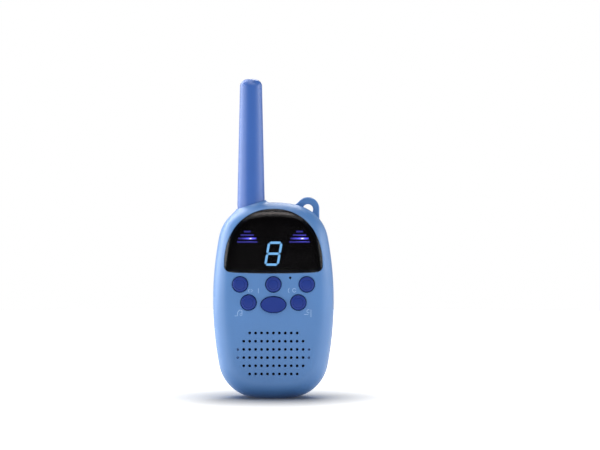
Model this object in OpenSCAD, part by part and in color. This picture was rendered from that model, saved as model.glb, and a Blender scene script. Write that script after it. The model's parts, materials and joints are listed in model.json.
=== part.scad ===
// Toy walkie talkie: a pillow-shaped two-shell casing with a smoked display
// window, six sprung push buttons, a drilled speaker grille, a fixed stub
// antenna, a lanyard eye and a hook-in battery door.
//
// Frame: origin on the floor under the middle of the casing, +Z up,
// +X to the right of the face, the face looks along -Y.
// The two shells meet on the plane Y = 0.

/* [Casing] */
// Width of the casing at its widest
body_w = 60; // [58:0.5:62]
// Height of the casing without the antenna
body_h = 97; // [95:0.5:99]
// Depth of the front shell, from the parting plane to the face
front_d = 13.4; // [13:0.1:14]
// Depth of the rear shell, from the parting plane to the back
rear_d = 14.6; // [14.4:0.1:15.4]
// Wall thickness of both shells
wall = 2; // [1.6:0.1:2.2]
// Width of the rounded rim around the flat face
rim_w = 9.5; // [9:0.1:10]
// Squareness of the rounded rim (2 is an ellipse)
rim_n = 2.4; // [2.1:0.1:2.8]

/* [Outline] */
// Height at which the casing is widest
widest_z = 48; // [46:0.1:51]
// Radius of the long sides
side_r = 170; // [150:1:185]
// Radius of the top edge
top_r = 54; // [50:1:58]
// Radius of the bottom edge
foot_r = 60; // [50:1:65]
// Radius of the two shoulders
shoulder_r = 20; // [18:0.5:22]
// Radius of the two lower corners
hip_r = 20; // [18:0.5:23]
// How much of the bottom curve is cut off to leave a flat foot
foot_cut = 0.8; // [0.4:0.1:1]

/* [Antenna] */
// Height of the antenna tip above the floor
antenna_top = 158.2; // [140:1:170]
// Position of the antenna axis, to the left of the middle
antenna_x = -11.1; // [-12:0.1:-10]
// Radius of the antenna where it leaves the casing
antenna_r0 = 6.8; // [6.4:0.1:7]
// Radius of the antenna below its rounded tip
antenna_r1 = 5.45; // [5:0.05:6]

/* [Window] */
// Half width of the display window
window_a = 24.3; // [23:0.1:25]
// Height of the window's lower corners
window_z0 = 66; // [65:0.1:67]
// Rise of the window's arch above its lower corners
window_b = 28; // [26:0.1:28.2]
// Thickness of the smoked lens
lens_t = 1.2; // [1:0.05:1.4]

/* [Buttons] */
// Radius of the holes for the round buttons
key_hole_r = 4.0; // [3.9:0.05:4.1]
// Running gap between a button and its hole
key_gap = 0.25; // [0.2:0.05:0.4]
// How far the buttons stand proud of the face
key_proud = 1.2; // [0.8:0.1:1.4]
// Half width of the oval talk button's hole
talk_a = 6.35; // [6:0.05:6.5]
// Half height of the oval talk button's hole
talk_b = 4.1; // [3.9:0.05:4.2]

/* [Grille] */
// Sideways pitch of the grille holes
grille_px = 2.93; // [2.8:0.01:3]
// Upright pitch of the grille holes
grille_pz = 4.05; // [3.9:0.01:4.1]
// Radius of a grille hole
grille_r = 0.7; // [0.5:0.02:0.8]
// Height of the middle of the grille
grille_z = 22.7; // [22:0.1:23.5]

/* [Lanyard eye] */
// Radius of the lanyard hole
eye_r = 2.6; // [2.2:0.1:2.8]
// Outer radius of the eye
eye_out_r = 5.7; // [5.4:0.1:6]
// Thickness of the eye
eye_t = 3; // [2.5:0.1:3.2]

/* [Battery] */
// Radius of one AAA cell
cell_r = 5.2; // [5:0.05:5.25]
// Length of one AAA cell with its nub
cell_l = 44.5; // [44:0.1:44.6]
// Pitch of the three cells
cell_pitch = 11; // [10.8:0.1:11.2]

/* [Hidden] */
$fn = 32;

body_top = body_h;
blue = [0.36, 0.52, 0.78];
key_blue = [0.16, 0.26, 0.55];

// ---------------------------------------------------------------- outline
// The outline is made of tangent arcs, and a point on it is found from the
// direction its normal looks in, so an inset is only a smaller radius.
function meet(c0, r0, c1, r1) =
    let (d = norm(c1 - c0), a = (r0 * r0 - r1 * r1 + d * d) / (2 * d), h = sqrt(max(0, r0 * r0 - a * a)),
         u = (c1 - c0) / d, p = c0 + a * u, v = [-u[1], u[0]], q1 = p + h * v, q2 = p - h * v)
    q1[0] > q2[0] ? q1 : q2;
side_c = [body_w / 2 - side_r, widest_z];
top_c = [0, body_top - top_r];
foot_c = [0, foot_r - foot_cut];
sh_c = meet(side_c, side_r - shoulder_r, top_c, top_r - shoulder_r);
hip_c = meet(side_c, side_r - hip_r, foot_c, foot_r - hip_r);
a_sh0 = atan2(sh_c[1] - side_c[1], sh_c[0] - side_c[0]);
a_sh1 = atan2(sh_c[1] - top_c[1], sh_c[0] - top_c[0]);
a_hip1 = atan2(hip_c[1] - side_c[1], hip_c[0] - side_c[0]);
a_hip0 = atan2(hip_c[1] - foot_c[1], hip_c[0] - foot_c[0]);
function arc(c, r, a, b, n) = [for (k = [0:n - 1]) let (t = a + (b - a) * k / n) [c[0] + r * cos(t), c[1] + r * sin(t)]];
function half_outline(i) = concat(
    arc(foot_c, foot_r - i, -90, a_hip0, 3),
    arc(hip_c, hip_r - i, a_hip0, a_hip1, 7),
    arc(side_c, side_r - i, a_hip1, a_sh0, 6),
    arc(sh_c, shoulder_r - i, a_sh0, a_sh1, 7),
    arc(top_c, top_r - i, a_sh1, 90, 3),
    [[0, body_top - i]]);
function outline(i) = let (h = half_outline(i), n = len(h))
    concat(h, [for (k = [n - 2:-1:1]) [-h[k][0], h[k][1]]]);

// Rings of the rounded rim: [inset, depth] for an offset into the wall.
function ring(phi, d, off) = [off + (rim_w - off) * (1 - pow(cos(phi), 2 / rim_n)), (d - off) * pow(sin(phi), 2 / rim_n)];
fine = [0, 9, 18, 27, 36, 45, 54, 63, 72, 81, 90];
coarse = [0, 15, 30, 45, 60, 75, 90];

// A closed skin over a run of rings, each [inset, y]. Points are kept above floor_z.
module loft(rings, flip, floor_z) {
    n = len(outline(0));
    m = len(rings);
    pts = [for (r = rings) for (p = outline(r[0])) [p[0], r[1], max(p[1], floor_z)]];
    sides = [for (j = [0:m - 2]) for (k = [0:n - 1])
        let (a = j * n + k, b = j * n + (k + 1) % n) each [[a, b, b + n], [a, b + n, a + n]]];
    caps = [[for (k = [n - 1:-1:0]) k], [for (k = [0:n - 1]) (m - 1) * n + k]];
    all = concat(sides, caps);
    polyhedron(points = pts, faces = flip ? [for (f = all) [for (i = [len(f) - 1:-1:0]) f[i]]] : all, convexity = 8);
}
// Solid half pillow on one side of the parting plane (side -1 front, +1 rear).
module pillow(side, off, steps = coarse, lead = 0) {
    d = side < 0 ? front_d : rear_d;
    rings = concat(lead > 0 ? [[off, -side * lead]] : [], [for (p = steps) let (r = ring(p, d, off)) [r[0], side * r[1]]]);
    loft(rings, side < 0, off > 0 ? -50 : 0);
}
// Hollow half shell, open at the parting plane.
module shell(side) {
    d = side < 0 ? front_d : rear_d;
    inner = [for (k = [len(coarse) - 1:-1:0]) let (r = ring(coarse[k], d, wall)) [r[0], side * r[1]]];
    outer = [for (p = fine) let (r = ring(p, d, 0)) [r[0], side * r[1]]];
    n = len(outline(0));
    loft(concat(inner, outer), side < 0, 0);
}

// ---------------------------------------------------------------- window
function window_pts(g) = let (r = max(3 - g, 0.6), cz = window_z0 - 3.1 + g + r, base = max(window_z0, cz + 0.1),
        rise = window_z0 + window_b - g - base, e = 2 / 2.2) concat(
    [for (k = [0:18]) let (t = k * 10) [(window_a - g) * sign(cos(t)) * pow(abs(cos(t)), e), base + rise * pow(sin(t), e)]],
    [for (k = [1:5]) let (t = 180 + k * 15) [-window_a + g + r + r * cos(t), cz + r * sin(t)]],
    [for (k = [-2:2]) [k * 8, cz - r - 0.15 - 0.5 * (1 - pow(k / 2.7, 2))]],
    [for (k = [1:5]) let (t = 270 + k * 15) [window_a - g - r + r * cos(t), cz + r * sin(t)]]);
module window_prism(g, y0, y1) {
    translate([0, y1, 0]) rotate([90, 0, 0]) linear_extrude(height = y1 - y0) polygon(window_pts(g));
}

// ---------------------------------------------------------------- helpers
// Cylinder along Y from y0 to y1.
module rod(x, z, r, y0, y1) { translate([x, y1, z]) rotate([90, 0, 0]) cylinder(r = r, h = y1 - y0); }
// Body of revolution about an axis along Y; profile points are [radius, y].
module turned(x, z, profile) {
    translate([x, 0, z]) rotate([90, 0, 0]) rotate_extrude() polygon([for (p = profile) [p[0], -p[1]]]);
}
module box3(x0, x1, y0, y1, z0, z1) { translate([x0, y0, z0]) cube([x1 - x0, y1 - y0, z1 - z0]); }
// Cross pieces of a smooth wire through hand-set points.
function spline(p, n) = [for (i = [0:len(p) - 2]) for (k = [0:n - 1])
    let (a = p[max(0, i - 1)], b = p[i], c = p[i + 1], d = p[min(len(p) - 1, i + 2)], t = k / n)
    0.5 * (2 * b + (c - a) * t + (2 * a - 5 * b + 4 * c - d) * t * t + (3 * b - a - 3 * c + d) * t * t * t)];
function unit(v) = v / norm(v);
module wire(p, r, n = 5, sides = 8) {
    c = concat(spline(p, n), [p[len(p) - 1]]);
    m = len(c);
    pts = [for (i = [0:m - 1]) let (t = unit(c[min(m - 1, i + 1)] - c[max(0, i - 1)]),
            u = unit(cross(t, abs(t[0]) > 0.9 ? [0, 1, 0] : [1, 0.2, 0.1])), v = cross(t, u))
        for (k = [0:sides - 1]) c[i] + r * (cos(k * 360 / sides) * u + sin(k * 360 / sides) * v)];
    q = [for (i = [0:m - 2]) for (k = [0:sides - 1]) let (a = i * sides + k, b = i * sides + (k + 1) % sides)
        each [[a, b + sides, b], [a, a + sides, b + sides]]];
    polyhedron(points = pts, faces = concat(q, [[for (k = [0:sides - 1]) k], [for (k = [sides - 1:-1:0]) (m - 1) * sides + k]]), convexity = 6);
}

// ---------------------------------------------------------------- positions
key_x1 = 16.45; key_z1 = 56.85;
key_x2 = 12.3; key_z2 = 47.9;
talk_z = 46.85;
mic_x = 8.3; mic_z = 60.1;
face_y = -front_d;
inner_y = -front_d + wall;
key_top = face_y - key_proud;
pcb_y = -7;
pcb_t = 1.6;
spk_z = 24;
case_screw = [[23.5, 56.5], [-23.5, 56.5], [22.4, 18.5], [-22.4, 18.5]];
board_screw = [[20.9, 44], [-20.9, 44]];
frame_screw = [[18.6, 67.6], [-18.6, 67.6]];
spk_screw = [[11.3, 35.3], [-11.3, 35.3], [0, 8.2]];
eye_c = [17.15, 93.5];
eye_y = 0.3;
cell_y = 7.35;
cell_z0 = 10.4;
door_y = rear_d;

// ---------------------------------------------------------------- shells
// Fillet ring around the foot of the antenna, tilted to lie on the sloping shoulder.
module collar(side) {
    translate([antenna_x, 0, 94.3]) rotate([0, -17, 0]) rotate([0, 0, side < 0 ? 180 : 0])
        rotate_extrude(angle = 180) polygon([[5.6, -2.6], [9.0, -2.6], [9.0, -1.4], [8.75, -0.75], [8.25, -0.1], [7.75, 0.55], [7.4, 1.2], [7.25, 1.8], [7.05, 2.0], [5.6, 2.0]]);
}
module antenna_hole() {
    translate([antenna_x, 0, 90.8]) cylinder(r1 = antenna_r0 + 0.25, r2 = antenna_r0 + 0.04, h = 14);
    translate([antenna_x, 0, 84]) cylinder(r = 5.2, h = 8);
}
// Block inside each shell that grips the neck of the antenna.
module clamp(side) { s = side < 0 ? -6.5 : 0.1; box3(antenna_x - 8, antenna_x + 8, s, s + 6.4, 88.6, 97); }

module front_cover() color(blue) {
    difference() {
        union() {
            shell(-1);
            collar(-1);
            intersection() {
                union() {
                    clamp(-1);
                    for (p = case_screw) rod(p[0], p[1], 2.3, -11.9, -0.05);
                    for (p = board_screw) rod(p[0], p[1], 2.1, -11.9, pcb_y);
                    for (p = spk_screw) rod(p[0], p[1], 1.7, -11.9, -10);
                }
                pillow(-1, 0.8, coarse, 1);
            }
        }
        antenna_hole();
        difference() {
            window_prism(0, -30, -3);
            pillow(-1, lens_t + 0.05, coarse, 4);
        }
        window_prism(1.4, -30, -3);
        for (s = [-1, 1]) {
            rod(s * key_x1, key_z1, key_hole_r, -20, -10);
            rod(s * key_x2, key_z2, key_hole_r, -20, -10);
        }
        rod(0, key_z1, key_hole_r, -20, -10);
        translate([0, -10, talk_z]) scale([talk_a / talk_b, 1, 1]) rotate([90, 0, 0]) cylinder(r = talk_b, h = 10);
        rod(mic_x, mic_z, 0.6, -20, -10);
        for (r = [[9, 2.5], [11, 1.5], [11, 0.5], [11, -0.5], [11, -1.5], [9, -2.5]]) for (k = [0:r[0] - 1])
            rod((k - (r[0] - 1) / 2) * grille_px, grille_z + r[1] * grille_pz, grille_r, -20, -10);
        for (s = [-1, 1]) for (t = [-0.5, 0.5]) rod(s * 6 * grille_px, grille_z + t * grille_pz, 0.6, -20, face_y + 0.7);
        for (p = case_screw) rod(p[0], p[1], 1.1, -8, 1);
        for (p = board_screw) rod(p[0], p[1], 0.95, -10.8, -6);
        for (p = spk_screw) rod(p[0], p[1], 0.8, -11, -9);
    }
}

door_a = 19; door_top = 61.6; door_low = 7.6; door_r = 10;
module door_prism(g, y0, y1) {
    translate([0, y1, 0]) rotate([90, 0, 0]) linear_extrude(height = y1 - y0)
        polygon(concat(
            [for (k = [0:6]) let (t = k * 15) [door_a - g - 2.5 + 2.5 * cos(t), door_top - g - 2.5 + 2.5 * sin(t)]],
            [for (k = [0:6]) let (t = 90 + k * 15) [-door_a + g + 2.5 + 2.5 * cos(t), door_top - g - 2.5 + 2.5 * sin(t)]],
            [for (k = [0:9]) let (t = 180 + k * 10) [-door_a + g + door_r + door_r * cos(t), door_low + g + door_r + door_r * sin(t)]],
            [for (k = [0:9]) let (t = 270 + k * 10) [door_a - g - door_r + door_r * cos(t), door_low + g + door_r + door_r * sin(t)]]));
}
door_t = 1.6;
tab_x = [-10, 10];

// Everything inside the rear shell that has to stop short of its outer face.
module rear_inside() {
    difference() {
        box3(-19.6, 19.6, 0.5, 12.95, 7.2, 59.7);
        box3(-17.1, 17.1, 1.9, 20, 10, 58.5);
        box3(-30, 30, 10.2, 20, 58, 62);
    }
    // rim that the door rests on
    difference() { door_prism(-1.4, 11.7, 13.5); door_prism(1.4, 2, 16); box3(-40, 40, 0, 30, 57, 70); }
}
module notch() { translate([-6, 16.2, 6.9]) rotate([0, 90, 0]) cylinder(r = 2.6, h = 12); }
module rear_cover() color(blue) {
    difference() {
        union() {
            difference() {
                union() {
                    shell(1);
                    collar(1);
                    intersection() {
                        union() {
                            clamp(1);
                            for (p = case_screw) rod(p[0], p[1], 3.4, 0.1, 14.4);
                            // pocket wall behind the lanyard eye
                            rod(eye_c[0], eye_c[1], 5.6, eye_y, 13);
                        }
                        pillow(1, 0.6, coarse, 1);
                    }
                }
                door_prism(-0.2, -5, 30);
            }
            intersection() { rear_inside(); pillow(1, door_t + 0.1, coarse, 1); }
            // lanyard eye
            translate([0, eye_y + eye_t, 0]) rotate([90, 0, 0]) linear_extrude(height = eye_t) union() {
                translate(eye_c + [0, 0.4]) circle(r = eye_out_r);
                polygon([[9.6, 95.2], [11.6, 96.4], [12.6, 97.4], eye_c + [-4.03, 4.43], eye_c + [5.69, 0.6], [22.85, 86.4], [20.5, 86.6], [14, 90.4], [10.2, 93.4]]);
            }
        }
        antenna_hole();
        rod(eye_c[0], eye_c[1], eye_r, -2, 6);
        rod(eye_c[0], eye_c[1], 4.4, eye_y + eye_t, 30);
        for (p = case_screw) { rod(p[0], p[1], 1.3, -1, 20); rod(p[0], p[1], 2.6, 6.5, 20); }
        // slots for the contact plates' solder lugs and for the door's latch tongue
        for (x = [-11, 11]) box3(x - 1.3, x + 1.3, 2.2, 2.8, 58, 60.5);
        box3(-4.3, 4.3, 9.4, 20, 8.2, 10.4);
        notch();
    }
}
// Ribbed finger pad, two hooks that go under the casing above the opening, and a latch tongue.
module battery_door() color(blue) {
    difference() {
        union() {
            difference() {
                intersection() { door_prism(0, -5, 30); pillow(1, 0, fine, 0); }
                pillow(1, door_t, coarse, 2);
                box3(-40, 40, -5, 8.6, -5, 90);
            }
            for (x = tab_x) {
                box3(x - 3, x + 3, 11.2, 13.2, 60.1, 61.35);
                box3(x - 3, x + 3, 11.2, 12.4, 60.1, 63.4);
            }
            // latch tongue
            box3(-4, 4, 9.8, 13.2, 8.6, 9.8);
        }
        notch();
        for (k = [0:4]) box3(-7 + k * 0.8, 7 - k * 0.8, rear_d - 0.45, rear_d + 2, 20 - k * 1.8, 20.9 - k * 1.8);
    }
}

// ---------------------------------------------------------------- antenna
module antenna_sleeve() color(blue) {
    translate([antenna_x, 0, 0]) difference() {
        rotate_extrude() polygon(concat(
            [[0, 86], [6.6, 86], [6.6, 88.2], [5.0, 88.2], [5.0, 91.2], [antenna_r0 - 0.2, 92.2], [antenna_r0, 96]],
            [for (k = [0:8]) let (t = k * 90 / 8) [antenna_r1 * (0.12 + 0.88 * pow(cos(t), 0.75)), antenna_top - 3.4 + 3.4 * pow(sin(t), 1.1)]],
            [[0, antenna_top]]));
        translate([0, 0, 80]) cylinder(r = 2.6, h = 66);
    }
}
module antenna_core() color("white") {
    translate([antenna_x, 0, 0]) { translate([0, 0, 92]) cylinder(r = 1.5, h = 50); translate([0, 0, 90]) cylinder(r = 2.4, h = 2); }
}
module antenna_coil() color([0.8, 0.5, 0.25]) {
    n = 13; s = 12; turns = n * s;
    p = [for (i = [0:turns]) let (a = i * 360 / s) [antenna_x + 2.0 * cos(a), 2.0 * sin(a), 94 + 44 * i / turns]];
    wire(p, 0.3, 1, 6);
}
module antenna_contact() color([0.8, 0.68, 0.3]) {
    translate([antenna_x, 0, 0]) difference() {
        union() { translate([0, 0, 83.6]) cylinder(r = 3.4, h = 2.2); translate([0, 0, 85.8]) cylinder(r = 2.5, h = 4.2); }
        box3(-3.6, 3.6, -0.3, 0.3, 83, 84.1);
    }
}

// ---------------------------------------------------------------- display
module window_lens() color([0.03, 0.03, 0.04]) {
    difference() {
        intersection() { window_prism(0.12, -30, -3); pillow(-1, 0, fine, 0); }
        pillow(-1, lens_t, coarse, 4);
    }
}
// Widths of the four bars of one eye light, from the top down.
eye_bars = [[3.2, 82.8], [6.4, 81.1], [8.8, 79.4], [9.9, 77.7]];
eye_x = 12.9;
module display_frame() color([0.1, 0.1, 0.1]) {
    difference() {
        union() {
            difference() {
                union() {
                    window_prism(2.0, -10.6, pcb_y - 0.02);
                    window_prism(2.8, -11.1, -10.4);
                    window_prism(5.0, -11.75, -11);
                }
                window_prism(3.2, -10.4, 0);
            }
            for (p = frame_screw) rod(p[0], p[1], 2, -10.8, pcb_y - 0.02);
        }
        box3(-6.3, 6.3, -20, -5, 63.7, 80);
        for (s = [-1, 1]) for (b = eye_bars) box3(s * eye_x - b[0] / 2 - 0.05, s * eye_x + b[0] / 2 + 0.05, -20, -10.3, b[1] - 0.43, b[1] + 0.43);
        for (p = frame_screw) rod(p[0], p[1], 0.95, -10.1, 0);
    }
}
module digit_module() color([0.12, 0.12, 0.13]) {
    difference() {
        box3(-6.2, 6.2, -10.9, pcb_y, 64.0, 79.8);
        for (b = [0:6]) segment(b, -11.5, -10.5);
    }
}
// One of seven slanted bars: 0 top, 1 upper right, 2 lower right, 3 bottom, 4 lower left, 5 upper left, 6 middle.
digit_w = 6.1; digit_h = 5.4; digit_t = 1.15; digit_z = 71.9; slant = 0.17;
function seg_bar(l, t) = [[-l / 2, 0], [-l / 2 + t / 2, t / 2], [l / 2 - t / 2, t / 2], [l / 2, 0], [l / 2 - t / 2, -t / 2], [-l / 2 + t / 2, -t / 2]];
module segment(i, y0, y1) {
    c = [[0, digit_h, 0], [digit_w / 2, digit_h / 2, 90], [digit_w / 2, -digit_h / 2, 90], [0, -digit_h, 0],
         [-digit_w / 2, -digit_h / 2, 90], [-digit_w / 2, digit_h / 2, 90], [0, 0, 0]][i];
    l = (c[2] == 0 ? digit_w : digit_h) - 0.35;
    pts = [for (p = seg_bar(l, digit_t)) let (q = c[2] == 0 ? p : [-p[1], p[0]], x = q[0] + c[0], z = q[1] + c[1]) [x + slant * z, digit_z + z]];
    translate([0, y1, 0]) rotate([90, 0, 0]) linear_extrude(height = y1 - y0) polygon(pts);
}
module digit_segments() color([0.55, 0.85, 1]) { for (i = [0:6]) segment(i, -11.1, -10.5); }
module eye_diffuser(s) color([0.45, 0.45, 0.95]) {
    for (q = [[5, 76.6, 79.9], [3.7, 79.9, 82], [2.1, 82, 83.6]]) box3(s * eye_x - q[0], s * eye_x + q[0], -10.35, -9.4, q[1], q[2]);
    for (b = eye_bars) box3(s * eye_x - b[0] / 2, s * eye_x + b[0] / 2, -11.8, -10.3, b[1] - 0.38, b[1] + 0.38);
}
module eye_diffuser_left() eye_diffuser(-1);
module eye_diffuser_right() eye_diffuser(1);
module eye_leds() color([0.95, 0.95, 0.85]) {
    for (s = [-1, 1]) { box3(s * eye_x - 1.75, s * eye_x + 1.75, -8.6, pcb_y, 78, 80.8); rod(s * eye_x, 79.4, 1.1, -8.9, -8.6); }
}

// ---------------------------------------------------------------- buttons
module round_key(x, z) {
    r = key_hole_r - key_gap;
    turned(x, z, [[0, -9.4], [1.5, -9.4], [1.5, -10.4], [4.5, -10.4], [4.5, -11.3], [r, -11.3], [r, key_top + 0.75],
        [r - 0.12, key_top + 0.42], [r - 0.36, key_top + 0.18], [r - 0.75, key_top + 0.05], [r - 1.6, key_top], [0, key_top]]);
}
module upper_left_button() color(key_blue) round_key(-key_x1, key_z1);
module upper_middle_button() color(key_blue) round_key(0, key_z1);
module upper_right_button() color(key_blue) round_key(key_x1, key_z1);
module lower_left_button() color(key_blue) round_key(-key_x2, key_z2);
module lower_right_button() color(key_blue) round_key(key_x2, key_z2);
// Closed oval body; rings are [half width, half height, y] from the back to the face.
module oval(z, rings, n = 48) {
    m = len(rings);
    pts = [for (r = rings) for (k = [0:n - 1]) let (t = k * 360 / n) [r[0] * cos(t), r[2], z + r[1] * sin(t)]];
    q = [for (j = [0:m - 2]) for (k = [0:n - 1]) let (a = j * n + k, b = j * n + (k + 1) % n) each [[a, b + n, b], [a, a + n, b + n]]];
    polyhedron(points = pts, faces = concat(q, [[for (k = [0:n - 1]) k], [for (k = [n - 1:-1:0]) (m - 1) * n + k]]), convexity = 4);
}
module talk_button() color(key_blue) {
    a = talk_a - key_gap; b = talk_b - key_gap;
    oval(talk_z, [[1.5, 1.5, -9.4], [1.5, 1.5, -10.4], [6.75, 4.6, -10.4], [6.75, 4.6, -11.3], [a, b, -11.3], [a, b, key_top + 0.75],
        [a - 0.12, b - 0.12, key_top + 0.42], [a - 0.36, b - 0.36, key_top + 0.18], [a - 0.75, b - 0.75, key_top + 0.05], [a - 1.6, b - 1.6, key_top]]);
}
key_pos = [[-key_x1, key_z1], [0, key_z1], [key_x1, key_z1], [-key_x2, key_z2], [key_x2, key_z2], [0, talk_z]];
module keypad_mat() color([0.75, 0.76, 0.78]) {
    difference() {
        box3(-20.4, 20.4, -8, pcb_y, 43, 61.4);
        for (p = key_pos) rod(p[0], p[1], 3.2, -9, -6);
        rod(mic_x, mic_z, 1.7, -9, -6);
        for (p = board_screw) rod(p[0], p[1], 2.4, -9, -6);
    }
}
module key_domes() color([0.82, 0.83, 0.85]) {
    for (p = key_pos) turned(p[0], p[1], [[0, -9.36], [1.9, -9.36], [2.0, -9.1], [3.2, -8], [3.2, -7], [2.6, -7], [2.6, -7.8], [1.5, -8.7], [1.1, -8.7], [1.1, -8.2], [0, -8.2]]);
}

// ---------------------------------------------------------------- electronics
module main_board() color([0.1, 0.38, 0.18]) {
    difference() {
        translate([0, pcb_y + pcb_t, 0]) rotate([90, 0, 0]) linear_extrude(height = pcb_t)
            difference() {
                polygon([for (p = outline(4.3)) [p[0], max(p[1], 41)]]);
                translate([-40, 85.4]) square([80, 20]);
                for (p = [case_screw[0], case_screw[1]]) translate(p) circle(r = 2.7);
            }
        for (p = concat(board_screw, frame_screw)) rod(p[0], p[1], 1.25, -9, -3);
    }
}
module contact_pads() color([0.85, 0.7, 0.35]) {
    for (p = key_pos) rod(p[0], p[1], 1.3, pcb_y - 0.06, pcb_y);
}
board_back = pcb_y + pcb_t;
module shield_can() color([0.78, 0.79, 0.8]) {
    difference() { box3(-15, 4, board_back, board_back + 3, 64, 80); box3(-14.7, 3.7, board_back - 1, board_back + 2.7, 64.3, 79.7); }
}
module board_chips() color([0.09, 0.09, 0.1]) {
    box3(-12, -5, board_back, board_back + 1, 69, 76);
    box3(8, 17, board_back, board_back + 1.2, 70, 79);
    box3(8, 13, board_back, board_back + 1.5, 60.5, 64.5);
    box3(-4, 1, board_back, board_back + 1.5, 52, 56);
}
module capacitors() color([0.2, 0.2, 0.24]) {
    for (p = [[-14, 53], [-8.5, 53], [15, 54]]) rod(p[0], p[1], 2, board_back, board_back + 4.6);
    for (p = [[6, 50], [9, 50], [-4, 61], [0, 61]]) box3(p[0] - 1, p[0] + 1, board_back, board_back + 1, p[1] - 0.6, p[1] + 0.6);
}
module crystal() color([0.8, 0.8, 0.8]) {
    box3(6, 14, board_back, board_back + 2.4, 81.4, 84.6);
}
module microphone() color([0.7, 0.7, 0.72]) {
    rod(mic_x, mic_z, 2, -10.9, -9.1);
    for (s = [-1, 1]) rod(mic_x + s * 0.8, mic_z, 0.25, -9.15, pcb_y);
}
module microphone_boot() color([0.12, 0.12, 0.12]) {
    difference() { rod(mic_x, mic_z, 2.6, inner_y + 0.02, -8.8); rod(mic_x, mic_z, 2, -10.9, -8); rod(mic_x, mic_z, 0.6, -12, -8); }
}

// ---------------------------------------------------------------- speaker
module speaker_frame() color([0.55, 0.56, 0.58]) {
    difference() {
        turned(0, spk_z, [[12.4, -10.65], [14, -10.65], [14, -10], [13.2, -10], [10.4, -7.3], [10.4, -6.4], [6.2, -6.4], [6.2, -7], [9.8, -7], [12.4, -9.6]]);
        for (a = [0:90:270]) translate([0, 0, spk_z]) rotate([0, a + 45, 0]) translate([0, 0, 11.3]) rod(0, 0, 1.6, -9.3, -5);
    }
}
module speaker_yoke() color([0.7, 0.7, 0.72]) { turned(0, spk_z, [[0, -3], [7, -3], [7, -6.4], [6.2, -6.4], [6.0, -6.0], [6.0, -3.9], [0, -3.9]]); }
module speaker_magnet() color([0.3, 0.3, 0.32]) { turned(0, spk_z, [[0, -3.9], [4.5, -3.9], [4.5, -5.6], [4.7, -5.6], [4.7, -6.4], [0, -6.4]]); }
module speaker_cone() color([0.14, 0.14, 0.14]) {
    turned(0, spk_z, [[0, -9.0], [2.5, -8.85], [5.1, -8.15], [5.5, -8.15], [11.15, -9.9], [11.15, -10.2], [5.6, -8.45], [5.1, -8.5], [2.5, -9.2], [0, -9.35]]);
}
module voice_coil() color([0.8, 0.5, 0.25]) { turned(0, spk_z, [[5.1, -8.15], [5.5, -8.15], [5.5, -4.9], [5.1, -4.9]]); }
module speaker_surround() color([0.08, 0.08, 0.08]) {
    turned(0, spk_z, [[11.15, -10.2], [11.4, -10.5], [11.8, -10.6], [12.2, -10.5], [12.4, -10.2], [12.4, -9.9], [12.15, -10.2], [11.8, -10.3], [11.4, -10.2], [11.15, -9.9]]);
}
module speaker_gasket() color([0.15, 0.15, 0.15]) { turned(0, spk_z, [[12.0, -11.13], [14, -11.13], [14, -10.65], [12.0, -10.65]]); }
module dust_screen() color([0.05, 0.05, 0.06]) {
    intersection() {
        translate([0, -11.13, 0]) rotate([90, 0, 0]) linear_extrude(height = -11.13 - inner_y - 0.01) polygon(outline(9.8));
        box3(-30, 30, -20, 0, 10.1, 33.5);
    }
}
module speaker_terminals() color([0.5, 0.35, 0.2]) { box3(-7, 7, -6.4, -5.7, 31.5, 33.6); }

// ---------------------------------------------------------------- battery
module cell(x, up) {
    z0 = up ? cell_z0 + 3.2 : cell_z0;
    translate([x, cell_y, 0]) {
        translate([0, 0, up ? z0 : z0 + 0.8]) cylinder(r = cell_r, h = cell_l - 0.8);
        translate([0, 0, up ? z0 + cell_l - 0.8 : z0]) cylinder(r = 1.9, h = 0.8);
    }
}
module battery_cell_left() color([0.25, 0.27, 0.3]) cell(-cell_pitch, true);
module battery_cell_middle() color([0.25, 0.27, 0.3]) cell(0, false);
module battery_cell_right() color([0.25, 0.27, 0.3]) cell(cell_pitch, true);
module conic_spring(x, z0, z1, up) {
    n = 40;
    p = [for (i = [0:n]) let (a = i * 32, t = i / n, r = up ? 3.6 - 1.7 * t : 1.9 + 1.7 * t) [x + r * cos(a), cell_y + r * sin(a), z0 + 0.3 + (z1 - z0 - 0.6) * t]];
    wire(p, 0.29, 1, 6);
}
module battery_springs() color([0.8, 0.8, 0.82]) {
    conic_spring(-cell_pitch, cell_z0, cell_z0 + 3.2, true);
    conic_spring(cell_pitch, cell_z0, cell_z0 + 3.2, true);
    conic_spring(0, cell_z0 + cell_l, cell_z0 + cell_l + 3.2, false);
}
plate_top = cell_z0 + cell_l + 3.2;
module battery_plates() color([0.82, 0.82, 0.84]) {
    // bottom: one bridge for the left and middle cells, one plate for the right
    box3(-15.5, 4, 3.2, 11.2, 10, cell_z0);
    box3(6.6, 15.5, 3.2, 11.2, 10, cell_z0);
    // top: one plate for the left cell, one bridge for the middle and right
    difference() { box3(-15.5, -6.4, 3.2, 10.2, plate_top, plate_top + 0.38); }
    box3(-4, 15.5, 3.2, 10.2, plate_top, plate_top + 0.38);
    for (x = [-11, 11]) box3(x - 1.1, x + 1.1, 2.3, 2.7, plate_top + 0.02, 62);
    for (x = [-11, 11]) box3(x - 1.1, x + 1.1, 2.3, 3.3, plate_top, plate_top + 0.38);
}

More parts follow.
